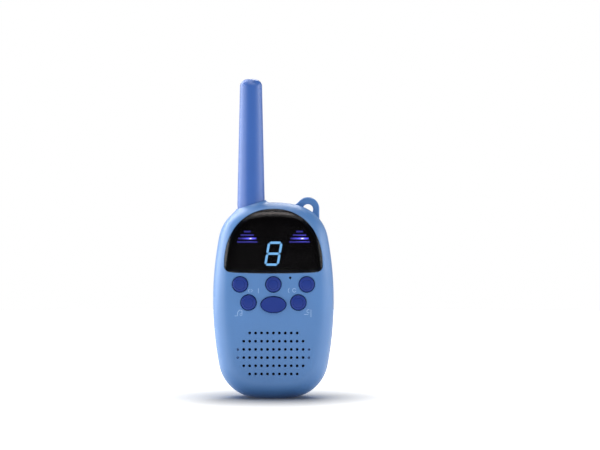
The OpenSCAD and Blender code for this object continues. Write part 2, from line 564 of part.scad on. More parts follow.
// ---------------------------------------------------------------- fasteners
// Self-tapping screw whose axis runs along Y, head at the rear.
module screw(x, z, head_y, len, head_r, shank_r, head_t) {
    difference() {
        union() {
            rod(x, z, head_r, head_y, head_y + head_t);
            rod(x, z, shank_r, head_y - len, head_y + 0.01);
        }
        box3(x - head_r * 0.7, x + head_r * 0.7, head_y + head_t * 0.45, head_y + 5, z - 0.22, z + 0.22);
        box3(x - 0.22, x + 0.22, head_y + head_t * 0.45, head_y + 5, z - head_r * 0.7, z + head_r * 0.7);
    }
}
module case_screws() color([0.75, 0.76, 0.78]) { for (p = case_screw) screw(p[0], p[1], 6.5, 13, 2.3, 1.08, 1.5); }
module board_screws() color([0.75, 0.76, 0.78]) { for (p = concat(board_screw, frame_screw)) screw(p[0], p[1], board_back, 4.6, 2, 0.93, 1.1); }
module speaker_screws() color([0.75, 0.76, 0.78]) { for (p = spk_screw) screw(p[0], p[1], -10, 0.95, 2.5, 0.78, 0.7); }

// ---------------------------------------------------------------- wires
module speaker_wire_red() color([0.75, 0.1, 0.08]) {
    wire([[-5.5, -5.2, 32.4], [-5.6, -4.4, 33.0], [-7.5, -3.2, 36], [-9, -2.6, 39.5], [-9.2, -3.2, 42], [-9, -4.6, 43.2], [-9, -5.4, 43.4]], 0.5);
}
module speaker_wire_black() color([0.08, 0.08, 0.08]) {
    wire([[5.5, -5.2, 32.4], [5.6, -4.4, 33.0], [7, -3.2, 36], [6, -2.6, 39.5], [5, -3.2, 42], [4.8, -4.6, 43.2], [4.8, -5.4, 43.4]], 0.5);
}
module battery_wire_red() color([0.75, 0.1, 0.08]) {
    wire([[-11, 1.8, 61.2], [-11.2, 1.2, 61.4], [-13, -0.4, 61.8], [-15.5, -1.8, 61.2], [-17, -3.2, 60.2], [-17.2, -4.6, 59.8], [-17.2, -5.4, 59.8]], 0.5);
}
module battery_wire_black() color([0.08, 0.08, 0.08]) {
    wire([[11, 1.8, 61.2], [11.2, 1.2, 61.4], [13, -0.4, 61.8], [15.5, -1.8, 61.2], [17, -3.2, 60.2], [17.2, -4.6, 59.8], [17.2, -5.4, 59.8]], 0.5);
}
module antenna_wire() color([0.85, 0.85, 0.85]) {
    wire([[-11.1, 0, 83.2], [-11.1, -0.2, 82.6], [-10.6, -0.9, 81.8], [-9, -2, 81.9], [-7.4, -3.4, 82.4], [-6.8, -4.6, 82.6], [-6.8, -5.4, 82.6]], 0.45);
}

front_cover();
rear_cover();
antenna_sleeve();
antenna_coil();
antenna_core();
antenna_contact();
window_lens();
display_frame();
digit_module();
digit_segments();
eye_diffuser_left();
eye_diffuser_right();
eye_leds();
upper_left_button();
upper_middle_button();
upper_right_button();
lower_left_button();
lower_right_button();
talk_button();
keypad_mat();
key_domes();
main_board();
contact_pads();
shield_can();
board_chips();
capacitors();
crystal();
microphone();
microphone_boot();
speaker_frame();
speaker_yoke();
speaker_magnet();
speaker_surround();
speaker_cone();
voice_coil();
speaker_gasket();
speaker_terminals();
dust_screen();
battery_door();
battery_cell_left();
battery_cell_middle();
battery_cell_right();
battery_springs();
battery_plates();
case_screws();
board_screws();
speaker_screws();
speaker_wire_red();
speaker_wire_black();
battery_wire_red();
battery_wire_black();
antenna_wire();
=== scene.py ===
import bpy, bmesh, math, json
import numpy as np
from mathutils import Vector, Matrix


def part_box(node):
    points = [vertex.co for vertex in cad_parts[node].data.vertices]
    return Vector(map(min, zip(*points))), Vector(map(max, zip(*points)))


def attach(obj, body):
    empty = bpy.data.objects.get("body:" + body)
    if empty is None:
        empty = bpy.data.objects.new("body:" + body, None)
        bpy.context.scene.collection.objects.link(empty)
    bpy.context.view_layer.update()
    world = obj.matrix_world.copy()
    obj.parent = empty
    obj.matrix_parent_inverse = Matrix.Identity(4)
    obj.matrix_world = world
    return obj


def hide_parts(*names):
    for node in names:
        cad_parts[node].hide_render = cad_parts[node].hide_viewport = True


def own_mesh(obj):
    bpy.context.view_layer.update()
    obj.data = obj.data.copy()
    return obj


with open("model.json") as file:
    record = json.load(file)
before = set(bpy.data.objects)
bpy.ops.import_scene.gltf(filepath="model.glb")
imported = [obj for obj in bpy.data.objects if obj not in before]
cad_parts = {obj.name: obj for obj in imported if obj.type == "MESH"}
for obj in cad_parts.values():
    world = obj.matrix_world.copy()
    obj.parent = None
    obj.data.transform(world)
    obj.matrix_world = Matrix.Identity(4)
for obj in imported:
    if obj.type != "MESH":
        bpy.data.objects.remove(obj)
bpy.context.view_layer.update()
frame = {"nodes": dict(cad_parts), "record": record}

NODES = frame["nodes"]
MM = 0.001

# ------------------------------------------------------------------ casing maths (mm), as in part.scad
BODY_W, BODY_H, D_F, D_R, WALL, RIM, RN = 60.0, 97.0, 13.4, 14.6, 2.0, 9.5, 2.4
SIDE_R, TOP_R, FOOT_R, SH_R, HIP_R, CUT = 170.0, 54.0, 60.0, 20.0, 20.0, 0.8
SIDE_C = np.array([BODY_W / 2 - SIDE_R, 48.0])
TOP_C = np.array([0.0, BODY_H - TOP_R])
FOOT_C = np.array([0.0, FOOT_R - CUT])


def meet(c0, r0, c1, r1):
    d = np.linalg.norm(c1 - c0)
    a = (r0 * r0 - r1 * r1 + d * d) / (2 * d)
    h = math.sqrt(max(0.0, r0 * r0 - a * a))
    u = (c1 - c0) / d
    p, v = c0 + a * u, np.array([-u[1], u[0]])
    q = [p + h * v, p - h * v]
    return max(q, key=lambda t: t[0])


SH_C = meet(SIDE_C, SIDE_R - SH_R, TOP_C, TOP_R - SH_R)
HIP_C = meet(SIDE_C, SIDE_R - HIP_R, FOOT_C, FOOT_R - HIP_R)


def adeg(a, b):
    return math.degrees(math.atan2(b[1] - a[1], b[0] - a[0]))


A_SH0, A_SH1 = adeg(SIDE_C, SH_C), adeg(TOP_C, SH_C)
A_HIP1, A_HIP0 = adeg(SIDE_C, HIP_C), adeg(FOOT_C, HIP_C)
ARCS = [(FOOT_C, FOOT_R, -90.0, A_HIP0, 12), (HIP_C, HIP_R, A_HIP0, A_HIP1, 28), (SIDE_C, SIDE_R, A_HIP1, A_SH0, 40),
        (SH_C, SH_R, A_SH0, A_SH1, 26), (TOP_C, TOP_R, A_SH1, 90.0, 14)]


def outline(i, clamp=True):
    """Dense outline at an inset, from the foot round the right side to the top and back down the left."""
    h = []
    for c, r, a, b, n in ARCS:
        for k in range(n):
            t = math.radians(a + (b - a) * k / n)
            h.append((c[0] + (r - i) * math.cos(t), c[1] + (r - i) * math.sin(t)))
    h[0] = (0.0, h[0][1])
    h.append((0.0, BODY_H - i))
    h += [(-x, z) for x, z in h[-2:0:-1]]
    p = np.array(h)
    if clamp:
        p[:, 1] = np.maximum(p[:, 1], 0.0)
    return p


def inset_of(x, z):
    """Distance in from the outline, and the outline's outward direction there."""
    x, z = np.atleast_1d(np.asarray(x, float)), np.atleast_1d(np.asarray(z, float))
    X = np.abs(x)
    best = np.full(X.shape, 1e9)
    nx, nz = np.zeros(X.shape), np.zeros(X.shape)
    for c, r, a, b, n in ARCS:
        dx, dz = X - c[0], z - c[1]
        rr = np.hypot(dx, dz) + 1e-12
        ang = np.degrees(np.arctan2(dz, dx))
        d = r - rr
        ok = (ang >= a - 1e-6) & (ang <= b + 1e-6) & (d < best)
        best = np.where(ok, d, best)
        nx, nz = np.where(ok, dx / rr, nx), np.where(ok, dz / rr, nz)
    return best, nx * np.where(x < 0, -1.0, 1.0), nz


def depth(d, D, off=0.0):
    t = np.clip((np.asarray(d, float) - off) / (RIM - off), 0.0, 1.0)
    return (D - off) * (1.0 - (1.0 - t) ** RN) ** (1.0 / RN)


def surf_y(x, z, side, off=0.0):
    d, _, _ = inset_of(x, z)
    return side * depth(d, D_F if side < 0 else D_R, off)


def surf_n(x, z, side):
    d, nx, nz = inset_of(x, z)
    D = D_F if side < 0 else D_R
    t = np.clip(d / RIM, 0.0, 1.0)
    gu = (1.0 - t) ** (RN - 1.0) / RIM
    gv = np.clip(depth(d, D) / D, 0, 1) ** (RN - 1.0) / D
    n = np.stack([gu * nx, side * gv, gu * nz], -1)
    return n / (np.linalg.norm(n, axis=-1, keepdims=True) + 1e-12), d


# ------------------------------------------------------------------ mesh helpers
def new_obj(name, verts, faces):
    me = bpy.data.meshes.new(name)
    me.from_pydata([tuple(float(c) * MM for c in v) for v in verts], [], [tuple(int(i) for i in f) for f in faces])
    me.validate()
    ob = bpy.data.objects.new(name, me)
    bpy.context.scene.collection.objects.link(ob)
    return ob


class Mesh:
    """Collects closed parts (mm), then becomes one object."""

    def __init__(self):
        self.v, self.f = [], []

    def add(self, verts, faces):
        o = len(self.v)
        self.v += [tuple(map(float, p)) for p in verts]
        self.f += [tuple(i + o for i in f) for f in faces]
        return self

    def loft(self, rings, closed=False, caps=True):
        """Joins rings of equal length; caps the ends, or joins the last to the first."""
        n, m = len(rings[0]), len(rings)
        v = [p for r in rings for p in r]
        f = []
        for j in range(m if closed else m - 1):
            a0, b0 = j * n, ((j + 1) % m) * n
            for k in range(n):
                k1 = (k + 1) % n
                f.append((a0 + k, a0 + k1, b0 + k1, b0 + k))
        if not closed and caps:
            f.append(tuple(range(n - 1, -1, -1)))
            f.append(tuple(range((m - 1) * n, m * n)))
        return self.add(v, f)

    def turned(self, x, z, prof, n=64, a=1.0, b=1.0, axis="y", y=0.0):
        """Revolves [radius, height] points about an axis; radius 0 ends are closed to a point-sized disc."""
        rings = []
        for r, h in prof:
            t = np.arange(n) * 2 * math.pi / n
            rr = max(r, 0.01)
            if axis == "y":
                ax, bx = rr * np.cos(t), rr * np.sin(t)
                if a != 1.0 or b != 1.0:  # an oval keeps its rounding width all round
                    ax, bx = max(rr + a, 0.01) * np.cos(t), max(rr + b, 0.01) * np.sin(t)
                rings.append(np.stack([x + ax, np.full(n, h), z + bx], -1))
            else:
                rings.append(np.stack([x + rr * np.cos(t), y + rr * np.sin(t), np.full(n, h)], -1))
        return self.loft(rings)

    def box(self, x0, x1, y0, y1, z0, z1, c=0.15):
        """A box with all its edges eased."""
        bm = bmesh.new()
        bmesh.ops.create_cube(bm, size=1.0)
        for w in bm.verts:
            w.co = Vector(((x0 + x1) / 2 + w.co.x * (x1 - x0), (y0 + y1) / 2 + w.co.y * (y1 - y0), (z0 + z1) / 2 + w.co.z * (z1 - z0)))
        if c:
            bmesh.ops.bevel(bm, geom=bm.edges[:], offset=c, segments=2, affect="EDGES", profile=0.5)
        bm.verts.index_update()
        self.add([w.co[:] for w in bm.verts], [[w.index for w in f.verts] for f in bm.faces])
        bm.free()
        return self

    def obj(self, name):
        ob = new_obj(name, self.v, self.f)
        bm = bmesh.new()
        bm.from_mesh(ob.data)
        bmesh.ops.recalc_face_normals(bm, faces=bm.faces[:])
        bm.to_mesh(ob.data)
        bm.free()
        return ob


def boolean(ob, cutter, op="DIFFERENCE", keep=False):
    m = ob.modifiers.new("b", "BOOLEAN")
    m.operation, m.solver, m.object = op, "EXACT", cutter
    dg = bpy.context.evaluated_depsgraph_get()
    me = bpy.data.meshes.new_from_object(ob.evaluated_get(dg))
    ob.modifiers.clear()
    old = ob.data
    ob.data = me
    bpy.data.meshes.remove(old)
    if not keep:
        bpy.data.objects.remove(cutter)
    return ob


def join(name, *obs):
    m = Mesh()
    for o in obs:
        m.add([tuple(c / MM for c in v.co) for v in o.data.vertices], [tuple(p.vertices) for p in o.data.polygons])
        bpy.data.objects.remove(o)
    ob = new_obj(name, m.v, m.f)
    return ob


AX, COLLAR_R = -11.1, 9.9  # antenna axis, and how far its collar reaches


def shade(ob, side=0, angle=38.0):
    """Smooth normals that follow the true casing surface where a face lies on it, and area-weighted ones elsewhere."""
    me = ob.data
    nl, nf = len(me.loops), len(me.polygons)
    me.polygons.foreach_set("use_smooth", np.ones(nf, bool))
    lv = np.empty(nl, np.int32)
    me.loops.foreach_get("vertex_index", lv)
    co = np.empty(len(me.vertices) * 3)
    me.vertices.foreach_get("co", co)
    co = co.reshape(-1, 3) / MM
    fn = np.empty(nf * 3)
    me.polygons.foreach_get("normal", fn)
    fn = fn.reshape(-1, 3)
    ar = np.empty(nf)
    me.polygons.foreach_get("area", ar)
    ar = np.maximum(ar * 1e6, 1e-6)
    tot = np.empty(nf, np.int32)
    me.polygons.foreach_get("loop_total", tot)
    lf = np.repeat(np.arange(nf), tot)
    order = np.argsort(lv, kind="stable")
    out = fn[lf].copy()
    bounds_ = np.searchsorted(lv[order], np.arange(len(me.vertices) + 1))
    ca = math.cos(math.radians(angle))
    for v in range(len(me.vertices)):
        s = order[bounds_[v]:bounds_[v + 1]]
        if len(s) < 2:
            continue
        n = fn[lf[s]]
        w = ar[lf[s]]
        near = (n @ n.T) > ca
        t = near @ (n * w[:, None])
        out[s] = t / (np.linalg.norm(t, axis=1, keepdims=True) + 1e-12)
    if side:
        p = co[lv]
        N, d = surf_n(p[:, 0], p[:, 2], side)
        y = side * depth(d, D_F if side < 0 else D_R)
        # distance to the surface is measured across the slope, so steep places count too
        off = np.abs(p[:, 1] - y) * np.abs(N[:, 1])
        ok = (off < 0.09) & ((fn[lf] * N).sum(1) > math.cos(math.radians(24))) & (p[:, 2] > 0.02)
        # the collar's foot takes the shoulder's normals and leaves them gradually
        rad = np.hypot(p[:, 0] - AX, p[:, 1])
        foot = (rad < COLLAR_R + 0.6) & (p[:, 2] > 88) & ((fn[lf] * N).sum(1) > 0.5)
        ok &= ~foot
        w = np.clip((COLLAR_R - rad) / 0.9, 0, 1)
        w = (w * w * (3 - 2 * w))[:, None]
        mix = N * (1 - w) + out * w
        mix /= np.linalg.norm(mix, axis=1, keepdims=True) + 1e-12
        out[foot] = mix[foot]
        out[ok] = N[ok]
    me.normals_split_custom_set([tuple(n) for n in out])
    return ob


def arc_prof(r, y_face, b, side, out=0.2, n=5):
    """Cutter profile for a round hole with an eased lip; side is the way the face looks."""
    p = [(r + b + out, y_face + side * 6.0), (r + b + out, y_face + side * 0.02)]
    for k in range(n + 1):
        t = math.pi / 2 * k / n
        p.append((r + b * (1 - math.sin(t)), y_face - side * b * (1 - math.cos(t))))
    return p


# ------------------------------------------------------------------ window outline
W_A, W_Z0, W_B = 24.3, 66.0, 28.0


def window(g, n_arch=96):
    r = max(3 - g, 0.6)
    cz = W_Z0 - 3.1 + g + r
    base = max(W_Z0, cz + 0.1)
    rise = W_Z0 + W_B - g - base
    e = 2 / 2.2
    p = []
    for k in range(n_arch + 1):
        t = math.pi * k / n_arch
        c, s = math.cos(t), max(math.sin(t), 0.0)
        p.append(((W_A - g) * math.copysign(abs(c) ** e, c), base + rise * s ** e))
    for k in range(1, 16):
        t = math.radians(180 + k * 90 / 16)
        p.append((-W_A + g + r + r * math.cos(t), cz + r * math.sin(t)))
    for k in range(-8, 9):
        x = k * 2.4
        p.append((x, cz - r - 0.15 - 0.5 * (1 - (x / 21.6) ** 2)))
    for k in range(1, 16):
        t = math.radians(270 + k * 90 / 16)
        p.append((W_A - g - r + r * math.cos(t), cz + r * math.sin(t)))
    return np.array(p)


def lift(xz, side, off=0.0, add=0.0):
    """Puts plan points on the casing surface; add moves them outwards along Y."""
    y = surf_y(xz[:, 0], xz[:, 1], side, off) + side * add
    return np.stack([xz[:, 0], y, xz[:, 1]], -1)


def flat(xz, y):
    return np.stack([xz[:, 0], np.full(len(xz), float(y)), xz[:, 1]], -1)


def scaled(xz, c, s):
    return np.asarray(c) + (xz - np.asarray(c)) * s


# ------------------------------------------------------------------ shells
def base_shell(side):
    D = D_F if side < 0 else D_R
    rings = []
    inner = [(WALL + (RIM - WALL) * (1 - math.cos(math.radians(p)) ** (2 / RN)), (D - WALL) * math.sin(math.radians(p)) ** (2 / RN))
             for p in range(90, -1, -6)]
    for i, y in inner:
        o = outline(i)
        rings.append(flat(o, side * y))
    outer = [(0.16, 0.0), (0.07, 0.05), (0.03, 0.13)]
    for p in [3 + 87 * k / 34 for k in range(35)]:
        c, s = math.cos(math.radians(p)), math.sin(math.radians(p))
        outer.append((RIM * (1 - max(c, 0) ** (2 / RN)), D * s ** (2 / RN)))
    for i, y in outer:
        rings.append(flat(outline(i), side * y))
    return Mesh().loft(rings).obj("base")


def top_z(x, y, side):
    """Height of the casing's upper surface over a point in plan."""
    D = D_F if side < 0 else D_R
    i = RIM * (1 - (1 - min(1.0, (abs(y) / D)) ** RN) ** (1 / RN))
    X = abs(x)
    if X <= TOP_C[0] + (TOP_R - i) * math.cos(math.radians(A_SH1)):
        return TOP_C[1] + math.sqrt(max(0, (TOP_R - i) ** 2 - X * X))
    dx = X - SH_C[0]
    return SH_C[1] + math.sqrt(max(0, (SH_R - i) ** 2 - dx * dx))


R_BORE = 6.98


def collar(side):
    """Raised fillet round the foot of the antenna, one half on each shell, growing out of the shoulder."""
    n, cols = 60, []
    r_out = COLLAR_R
    for k in range(n + 1):
        t = math.radians(180 + 180 * k / n) if side < 0 else math.radians(180 * k / n)
        c, s = math.cos(t), math.sin(t)
        if k in (0, n):
            s = 0.0
        pts = []
        ridge = 95.8 + 2.3 * c
        for q in range(15):
            u = q / 14.0
            r = r_out - (r_out - 7.45) * u
            base = top_z(AX + r * c, r * s, side)
            rise = max(0.0, ridge - top_z(AX + 7.45 * c, 7.45 * s, side))
            f = 1 - math.sqrt(max(0.0, 1 - u ** 1.8))
            pts.append((r, base + (-0.02 if q == 0 else 0) + rise * f))
        top = pts[-1][1]
        pts += [(7.36, top + 0.10), (7.22, top + 0.14), (7.06, top + 0.08), (R_BORE, top - 0.06), (R_BORE, 92.5), (r_out, 90.2)]
        cols.append([(AX + r * c, r * s + side * 0.02, z) for r, z in pts])
    m = len(cols[0])
    v = [p for col in cols for p in col]
    f = []
    for k in range(n):
        for q in range(m):
            q1 = (q + 1) % m
            f.append((k * m + q, k * m + q1, (k + 1) * m + q1, (k + 1) * m + q))
    f.append(tuple(range(m - 1, -1, -1)))
    f.append(tuple(range(n * m, (n + 1) * m)))
    return Mesh().add(v, f).obj("collar")


KEYS = {"upper_left_button": (-16.45, 56.85), "upper_middle_button": (0.0, 56.85), "upper_right_button": (16.45, 56.85),
        "lower_left_button": (-12.3, 47.9), "lower_right_button": (12.3, 47.9)}
TALK = (0.0, 46.85, 6.35, 4.1)
CASE_SCREW = [(23.5, 56.5), (-23.5, 56.5), (22.4, 18.5), (-22.4, 18.5)]
EYE = (17.15, 93.5)


def front_shell():
    ob = base_shell(-1)
    # window recess with a ledge
    g0 = window(0.0)
    b = 0.38
    nrm = np.roll(g0, -1, 0) - np.roll(g0, 1, 0)
    nrm = np.stack([nrm[:, 1], -nrm[:, 0]], -1)
    nrm /= np.linalg.norm(nrm, axis=1, keepdims=True) + 1e-9
    rings = [flat(g0 + nrm * (b + 0.28), -24.0), lift(g0 + nrm * (b + 0.28), -1, 0, 0.05)]
    for k in range(6):
        t = math.pi / 2 * k / 5
        rings.append(lift(g0 + nrm * b * (1 - math.sin(t)), -1, 0, -b * (1 - math.cos(t)) + (0.004 if k == 0 else 0)))
    rings.append(lift(g0, -1, 1.25))
    g1 = window(1.4)
    rings.append(lift(g1, -1, 1.25))
    rings.append(flat(g1, -3.0))
    cut = Mesh().loft(rings)
    boolean(ob, cut.obj("cut"))
    # holes
    cut = Mesh()
    for x, z in KEYS.values():
        cut.turned(x, z, arc_prof(4.0, -D_F, 0.28, -1) + [(4.0, -9.0)], 56)
    x, z, a, bb = TALK
    cut.turned(x, z, [(r - 4.1, y) for r, y in arc_prof(4.1, -D_F, 0.28, -1) + [(4.1, -9.0)]], 80, a, bb)
    cut.turned(8.3, 60.1, arc_prof(0.6, -D_F, 0.14, -1, 0.1, 4) + [(0.6, -9.0)], 24)
    for cnt, row in ((9, 2.5), (11, 1.5), (11, 0.5), (11, -0.5), (11, -1.5), (9, -2.5)):
        for k in range(cnt):
            cut.turned((k - (cnt - 1) / 2) * 2.93, 22.7 + row * 4.05, arc_prof(0.7, -D_F, 0.1, -1, 0.1, 3) + [(0.7, -10.0)], 24)
    for s in (-1, 1):
        for row in (0.5, -0.5):
            cut.turned(s * 6 * 2.93, 22.7 + row * 4.05, arc_prof(0.6, -D_F, 0.1, -1, 0.1, 3) + [(0.6, -12.0)], 24)
    boolean(ob, cut.obj("cut"))
    # room for the antenna
    boolean(ob, Mesh().turned(AX, 0, [(R_BORE, 90.0), (R_BORE, 105.0)], 96, axis="z").obj("cut"))
    parts = [ob, collar(-1)]
    m = Mesh()
    for x, z in CASE_SCREW:
        top = -float(surf_y(x, z, -1, 2.0)[0]) - 0.3
        top = min(top, 10.8)
        m.loft([ring_at(x, z, 1.1, -7.5, 32), ring_at(x, z, 1.1, -0.15, 32), ring_at(x, z, 1.2, -0.05, 32), ring_at(x, z, 2.2, -0.05, 32),
                ring_at(x, z, 2.3, -0.15, 32), ring_at(x, z, 2.3, -top, 32)])
    for x, z in ((20.9, 44), (-20.9, 44)):
        m.loft([ring_at(x, z, 0.95, -10.6, 32), ring_at(x, z, 0.95, -7.05, 32), ring_at(x, z, 2.0, -7.0, 32), ring_at(x, z, 2.1, -7.1, 32), ring_at(x, z, 2.1, -11.6, 32)])
    for x, z in ((11.3, 35.3), (-11.3, 35.3), (0, 8.2)):
        m.loft([ring_at(x, z, 0.8, -10.95, 24), ring_at(x, z, 0.8, -10.05, 24), ring_at(x, z, 1.7, -10.0, 24), ring_at(x, z, 1.7, -11.6, 24)])
    parts.append(m.obj("boss"))
    ob = join("shell_front", *parts)
    return shade(ob, -1)


def ring_at(x, z, r, y, n):
    t = np.arange(n) * 2 * math.pi / n
    return np.stack([x + r * np.cos(t), np.full(n, float(y)), z + r * np.sin(t)], -1)


DOOR_A, DOOR_TOP, DOOR_LOW, DOOR_R = 19.0, 61.6, 7.6, 10.0


def door_curve(g, seg=14):
    p = []
    for cx, cz, r, a0 in ((DOOR_A - g - 2.5, DOOR_TOP - g - 2.5, 2.5, 0), (-DOOR_A + g + 2.5, DOOR_TOP - g - 2.5, 2.5, 90),
                          (-DOOR_A + g + DOOR_R, DOOR_LOW + g + DOOR_R, DOOR_R, 180), (DOOR_A - g - DOOR_R, DOOR_LOW + g + DOOR_R, DOOR_R, 270)):
        for k in range(seg + 1):
            t = math.radians(a0 + 90 * k / seg)
            p.append((cx + r * math.cos(t), cz + r * math.sin(t)))
    # fill the straight runs so that every ring follows the casing
    q = []
    for k in range(len(p)):
        a, b = np.array(p[k]), np.array(p[(k + 1) % len(p)])
        n = max(1, int(np.linalg.norm(b - a) / 2.5)) if g == 0 else None
        q.append((a, b))
    out = []
    runs = {seg: 14, 2 * seg + 1: 16, 3 * seg + 2: 8, 4 * seg + 3: 16}
    for k, (a, b) in enumerate(q):
        out.append(a)
        n = runs.get(k, 1)
        for j in range(1, n):
            out.append(a + (b - a) * j / n)
    return np.array(out)


def outward(p):
    n = np.roll(p, -1, 0) - np.roll(p, 1, 0)
    n = np.stack([n[:, 1], -n[:, 0]], -1)
    return n / (np.linalg.norm(n, axis=1, keepdims=True) + 1e-9)


def rear_shell():
    ob = base_shell(1)
    # door opening with an eased lip
    g = door_curve(-0.2)
    nr = outward(g)
    b = 0.3
    rings = [flat(g + nr * (b + 0.2), 26.0), lift(g + nr * (b + 0.2), 1, 0, 0.04)]
    for k in range(6):
        t = math.pi / 2 * k / 5
        rings.append(lift(g + nr * b * (1 - math.sin(t)), 1, 0, -b * (1 - math.cos(t)) + (0.004 if k == 0 else 0)))
    rings.append(flat(g, 4.0))
    boolean(ob, Mesh().loft(rings).obj("cut"))
    # screw pockets, finger notch and the antenna
    cut = Mesh()
    for x, z in CASE_SCREW:
        rings = []
        t = np.arange(48) * 2 * math.pi / 48
        for r, add in ((3.05, 8.0), (3.05, 0.05), (2.85, 0.004), (2.7, -0.08), (2.62, -0.2), (2.6, -0.35)):
            c = np.stack([x + r * np.cos(t), z + r * np.sin(t)], -1)
            rings.append(lift(c, 1, 0, add) if add < 7 else flat(c, 24.0))
        rings.append(ring_at(x, z, 2.6, 5.5, 48))
        cut.loft(rings)
    boolean(ob, cut.obj("cut"))
    bore = Mesh().turned(AX, 0, [(R_BORE, 90.0), (R_BORE, 105.0)], 96, axis="z")
    boolean(ob, bore.obj("cut"))
    # pocket behind the lanyard eye
    boolean(ob, Mesh().turned(EYE[0], EYE[1], [(4.4, 3.2), (4.4, 30.0)], 72).obj("cut"))
    notch = Mesh()
    t = np.arange(48) * 2 * math.pi / 48
    notch.loft([np.stack([np.full(48, x), 16.2 + r * np.cos(t), 6.9 + r * np.sin(t)], -1) for x, r in ((-6, 2.2), (-5.8, 2.5), (-5.5, 2.6), (5.5, 2.6), (5.8, 2.5), (6, 2.2))])
    boolean(ob, notch.obj("cut"))
    parts = [ob, collar(1)]
    wall = Mesh().turned(EYE[0], EYE[1], [(5.6, 0.35), (5.6, 13.0)], 72).obj("w")
    boolean(wall, Mesh().turned(EYE[0], EYE[1], [(4.38, 3.14), (4.38, 30.0)], 72).obj("cut"))
    boolean(wall, Mesh().turned(EYE[0], EYE[1], [(2.6, -2.0), (2.6, 8.0)], 64).obj("cut"))
    pill = []
    for p in range(0, 91, 6):
        i = 0.3 + (RIM - 0.3) * (1 - max(math.cos(math.radians(p)), 0) ** (2 / RN))
        pill.append(flat(outline(i), (D_R - 0.3) * math.sin(math.radians(p)) ** (2 / RN)))
    boolean(wall, Mesh().loft(pill).obj("cut"), "INTERSECT")
    parts.append(wall)
    parts.append(lanyard_eye())
    # battery tray
    m = Mesh()

    def rrect(hw, z0, z1, r, n=9):
        p = []
        for cx, cz, a0 in ((hw - r, z1 - r, 0), (-hw + r, z1 - r, 90), (-hw + r, z0 + r, 180), (hw - r, z0 + r, 270)):
            for k in range(n):
                t = math.radians(a0 + 90 * k / (n - 1))
                p.append((cx + r * math.cos(t), cz + r * math.sin(t)))
            # straight run after this corner, filled by the caller's resampling
        out = []
        for k in range(len(p)):
            a, c = np.array(p[k]), np.array(p[(k + 1) % len(p)])
            cnt = 16 if k % n == n - 1 else 1
            for j in range(cnt):
                out.append(a + (c - a) * j / cnt)
        return np.array(out)

    o, i = rrect(19.6, 7.2, 59.7, 0.6), rrect(17.1, 10.0, 58.5, 0.8)

    def top(c, dy):
        y = np.minimum(12.95, surf_y(c[:, 0], c[:, 1], 1, 1.7)) - dy
        return np.stack([c[:, 0], np.where(c[:, 1] > 58.0, 10.2 - dy, y), c[:, 1]], -1)

    m.loft([flat(o, 0.5), top(o, 0.15), top(scaled(o, (0, 34), 0.995), 0.0), top(scaled(i, (0, 34), 1.008), 0.0), top(i, 0.15), flat(i, 2.1), flat(scaled(i, (0, 34), 0.985), 1.9)])
    # ledge under the door's edge
    a, c = door_curve(-1.3), door_curve(1.4)

    def ledge(cv, dy):
        y = np.minimum(12.9, surf_y(cv[:, 0], cv[:, 1], 1, 1.72)) - dy
        return np.stack([cv[:, 0], np.where(cv[:, 1] > 57.0, 10.0 - dy, y), cv[:, 1]], -1)

    m.loft([ledge(a, 1.2), ledge(a, 0.0), ledge(c, 0.0), ledge(c, 1.2)], closed=True)
    tray = m.obj("tray")
    cut = Mesh()
    for x in (-11, 11):
        cut.box(x - 1.3, x + 1.3, 2.2, 2.8, 58, 60.5, 0)
    cut.box(-4.3, 4.3, 9.4, 20, 8.2, 10.6, 0)
    boolean(tray, cut.obj("cut"))
    parts.append(tray)
    # screw towers
    m = Mesh()
    for x, z in CASE_SCREW:
        t = np.arange(48) * 2 * math.pi / 48
        c_in = np.stack([x + 2.63 * np.cos(t), z + 2.63 * np.sin(t)], -1)
        c_out = np.stack([x + 3.4 * np.cos(t), z + 3.4 * np.sin(t)], -1)
        d_out = np.maximum(inset_of(c_out[:, 0], c_out[:, 1])[0], 0)
        m.loft([ring_at(x, z, 3.3, 0.1, 48), ring_at(x, z, 3.4, 0.25, 48), np.stack([c_out[:, 0], np.maximum(surf_y(c_out[:, 0], c_out[:, 1], 1, 0.9), 0.4), c_out[:, 1]], -1),
                np.stack([c_in[:, 0], np.maximum(surf_y(c_in[:, 0], c_in[:, 1], 1, 0.9), 0.6), c_in[:, 1]], -1),
                ring_at(x, z, 2.63, 6.7, 48), ring_at(x, z, 2.5, 6.5, 48), ring_at(x, z, 1.45, 6.5, 48), ring_at(x, z, 1.3, 6.35, 48), ring_at(x, z, 1.3, 0.1, 48)], closed=True)
    parts.append(m.obj("tower"))
    ob = join("shell_rear", *parts)
    return shade(ob, 1)


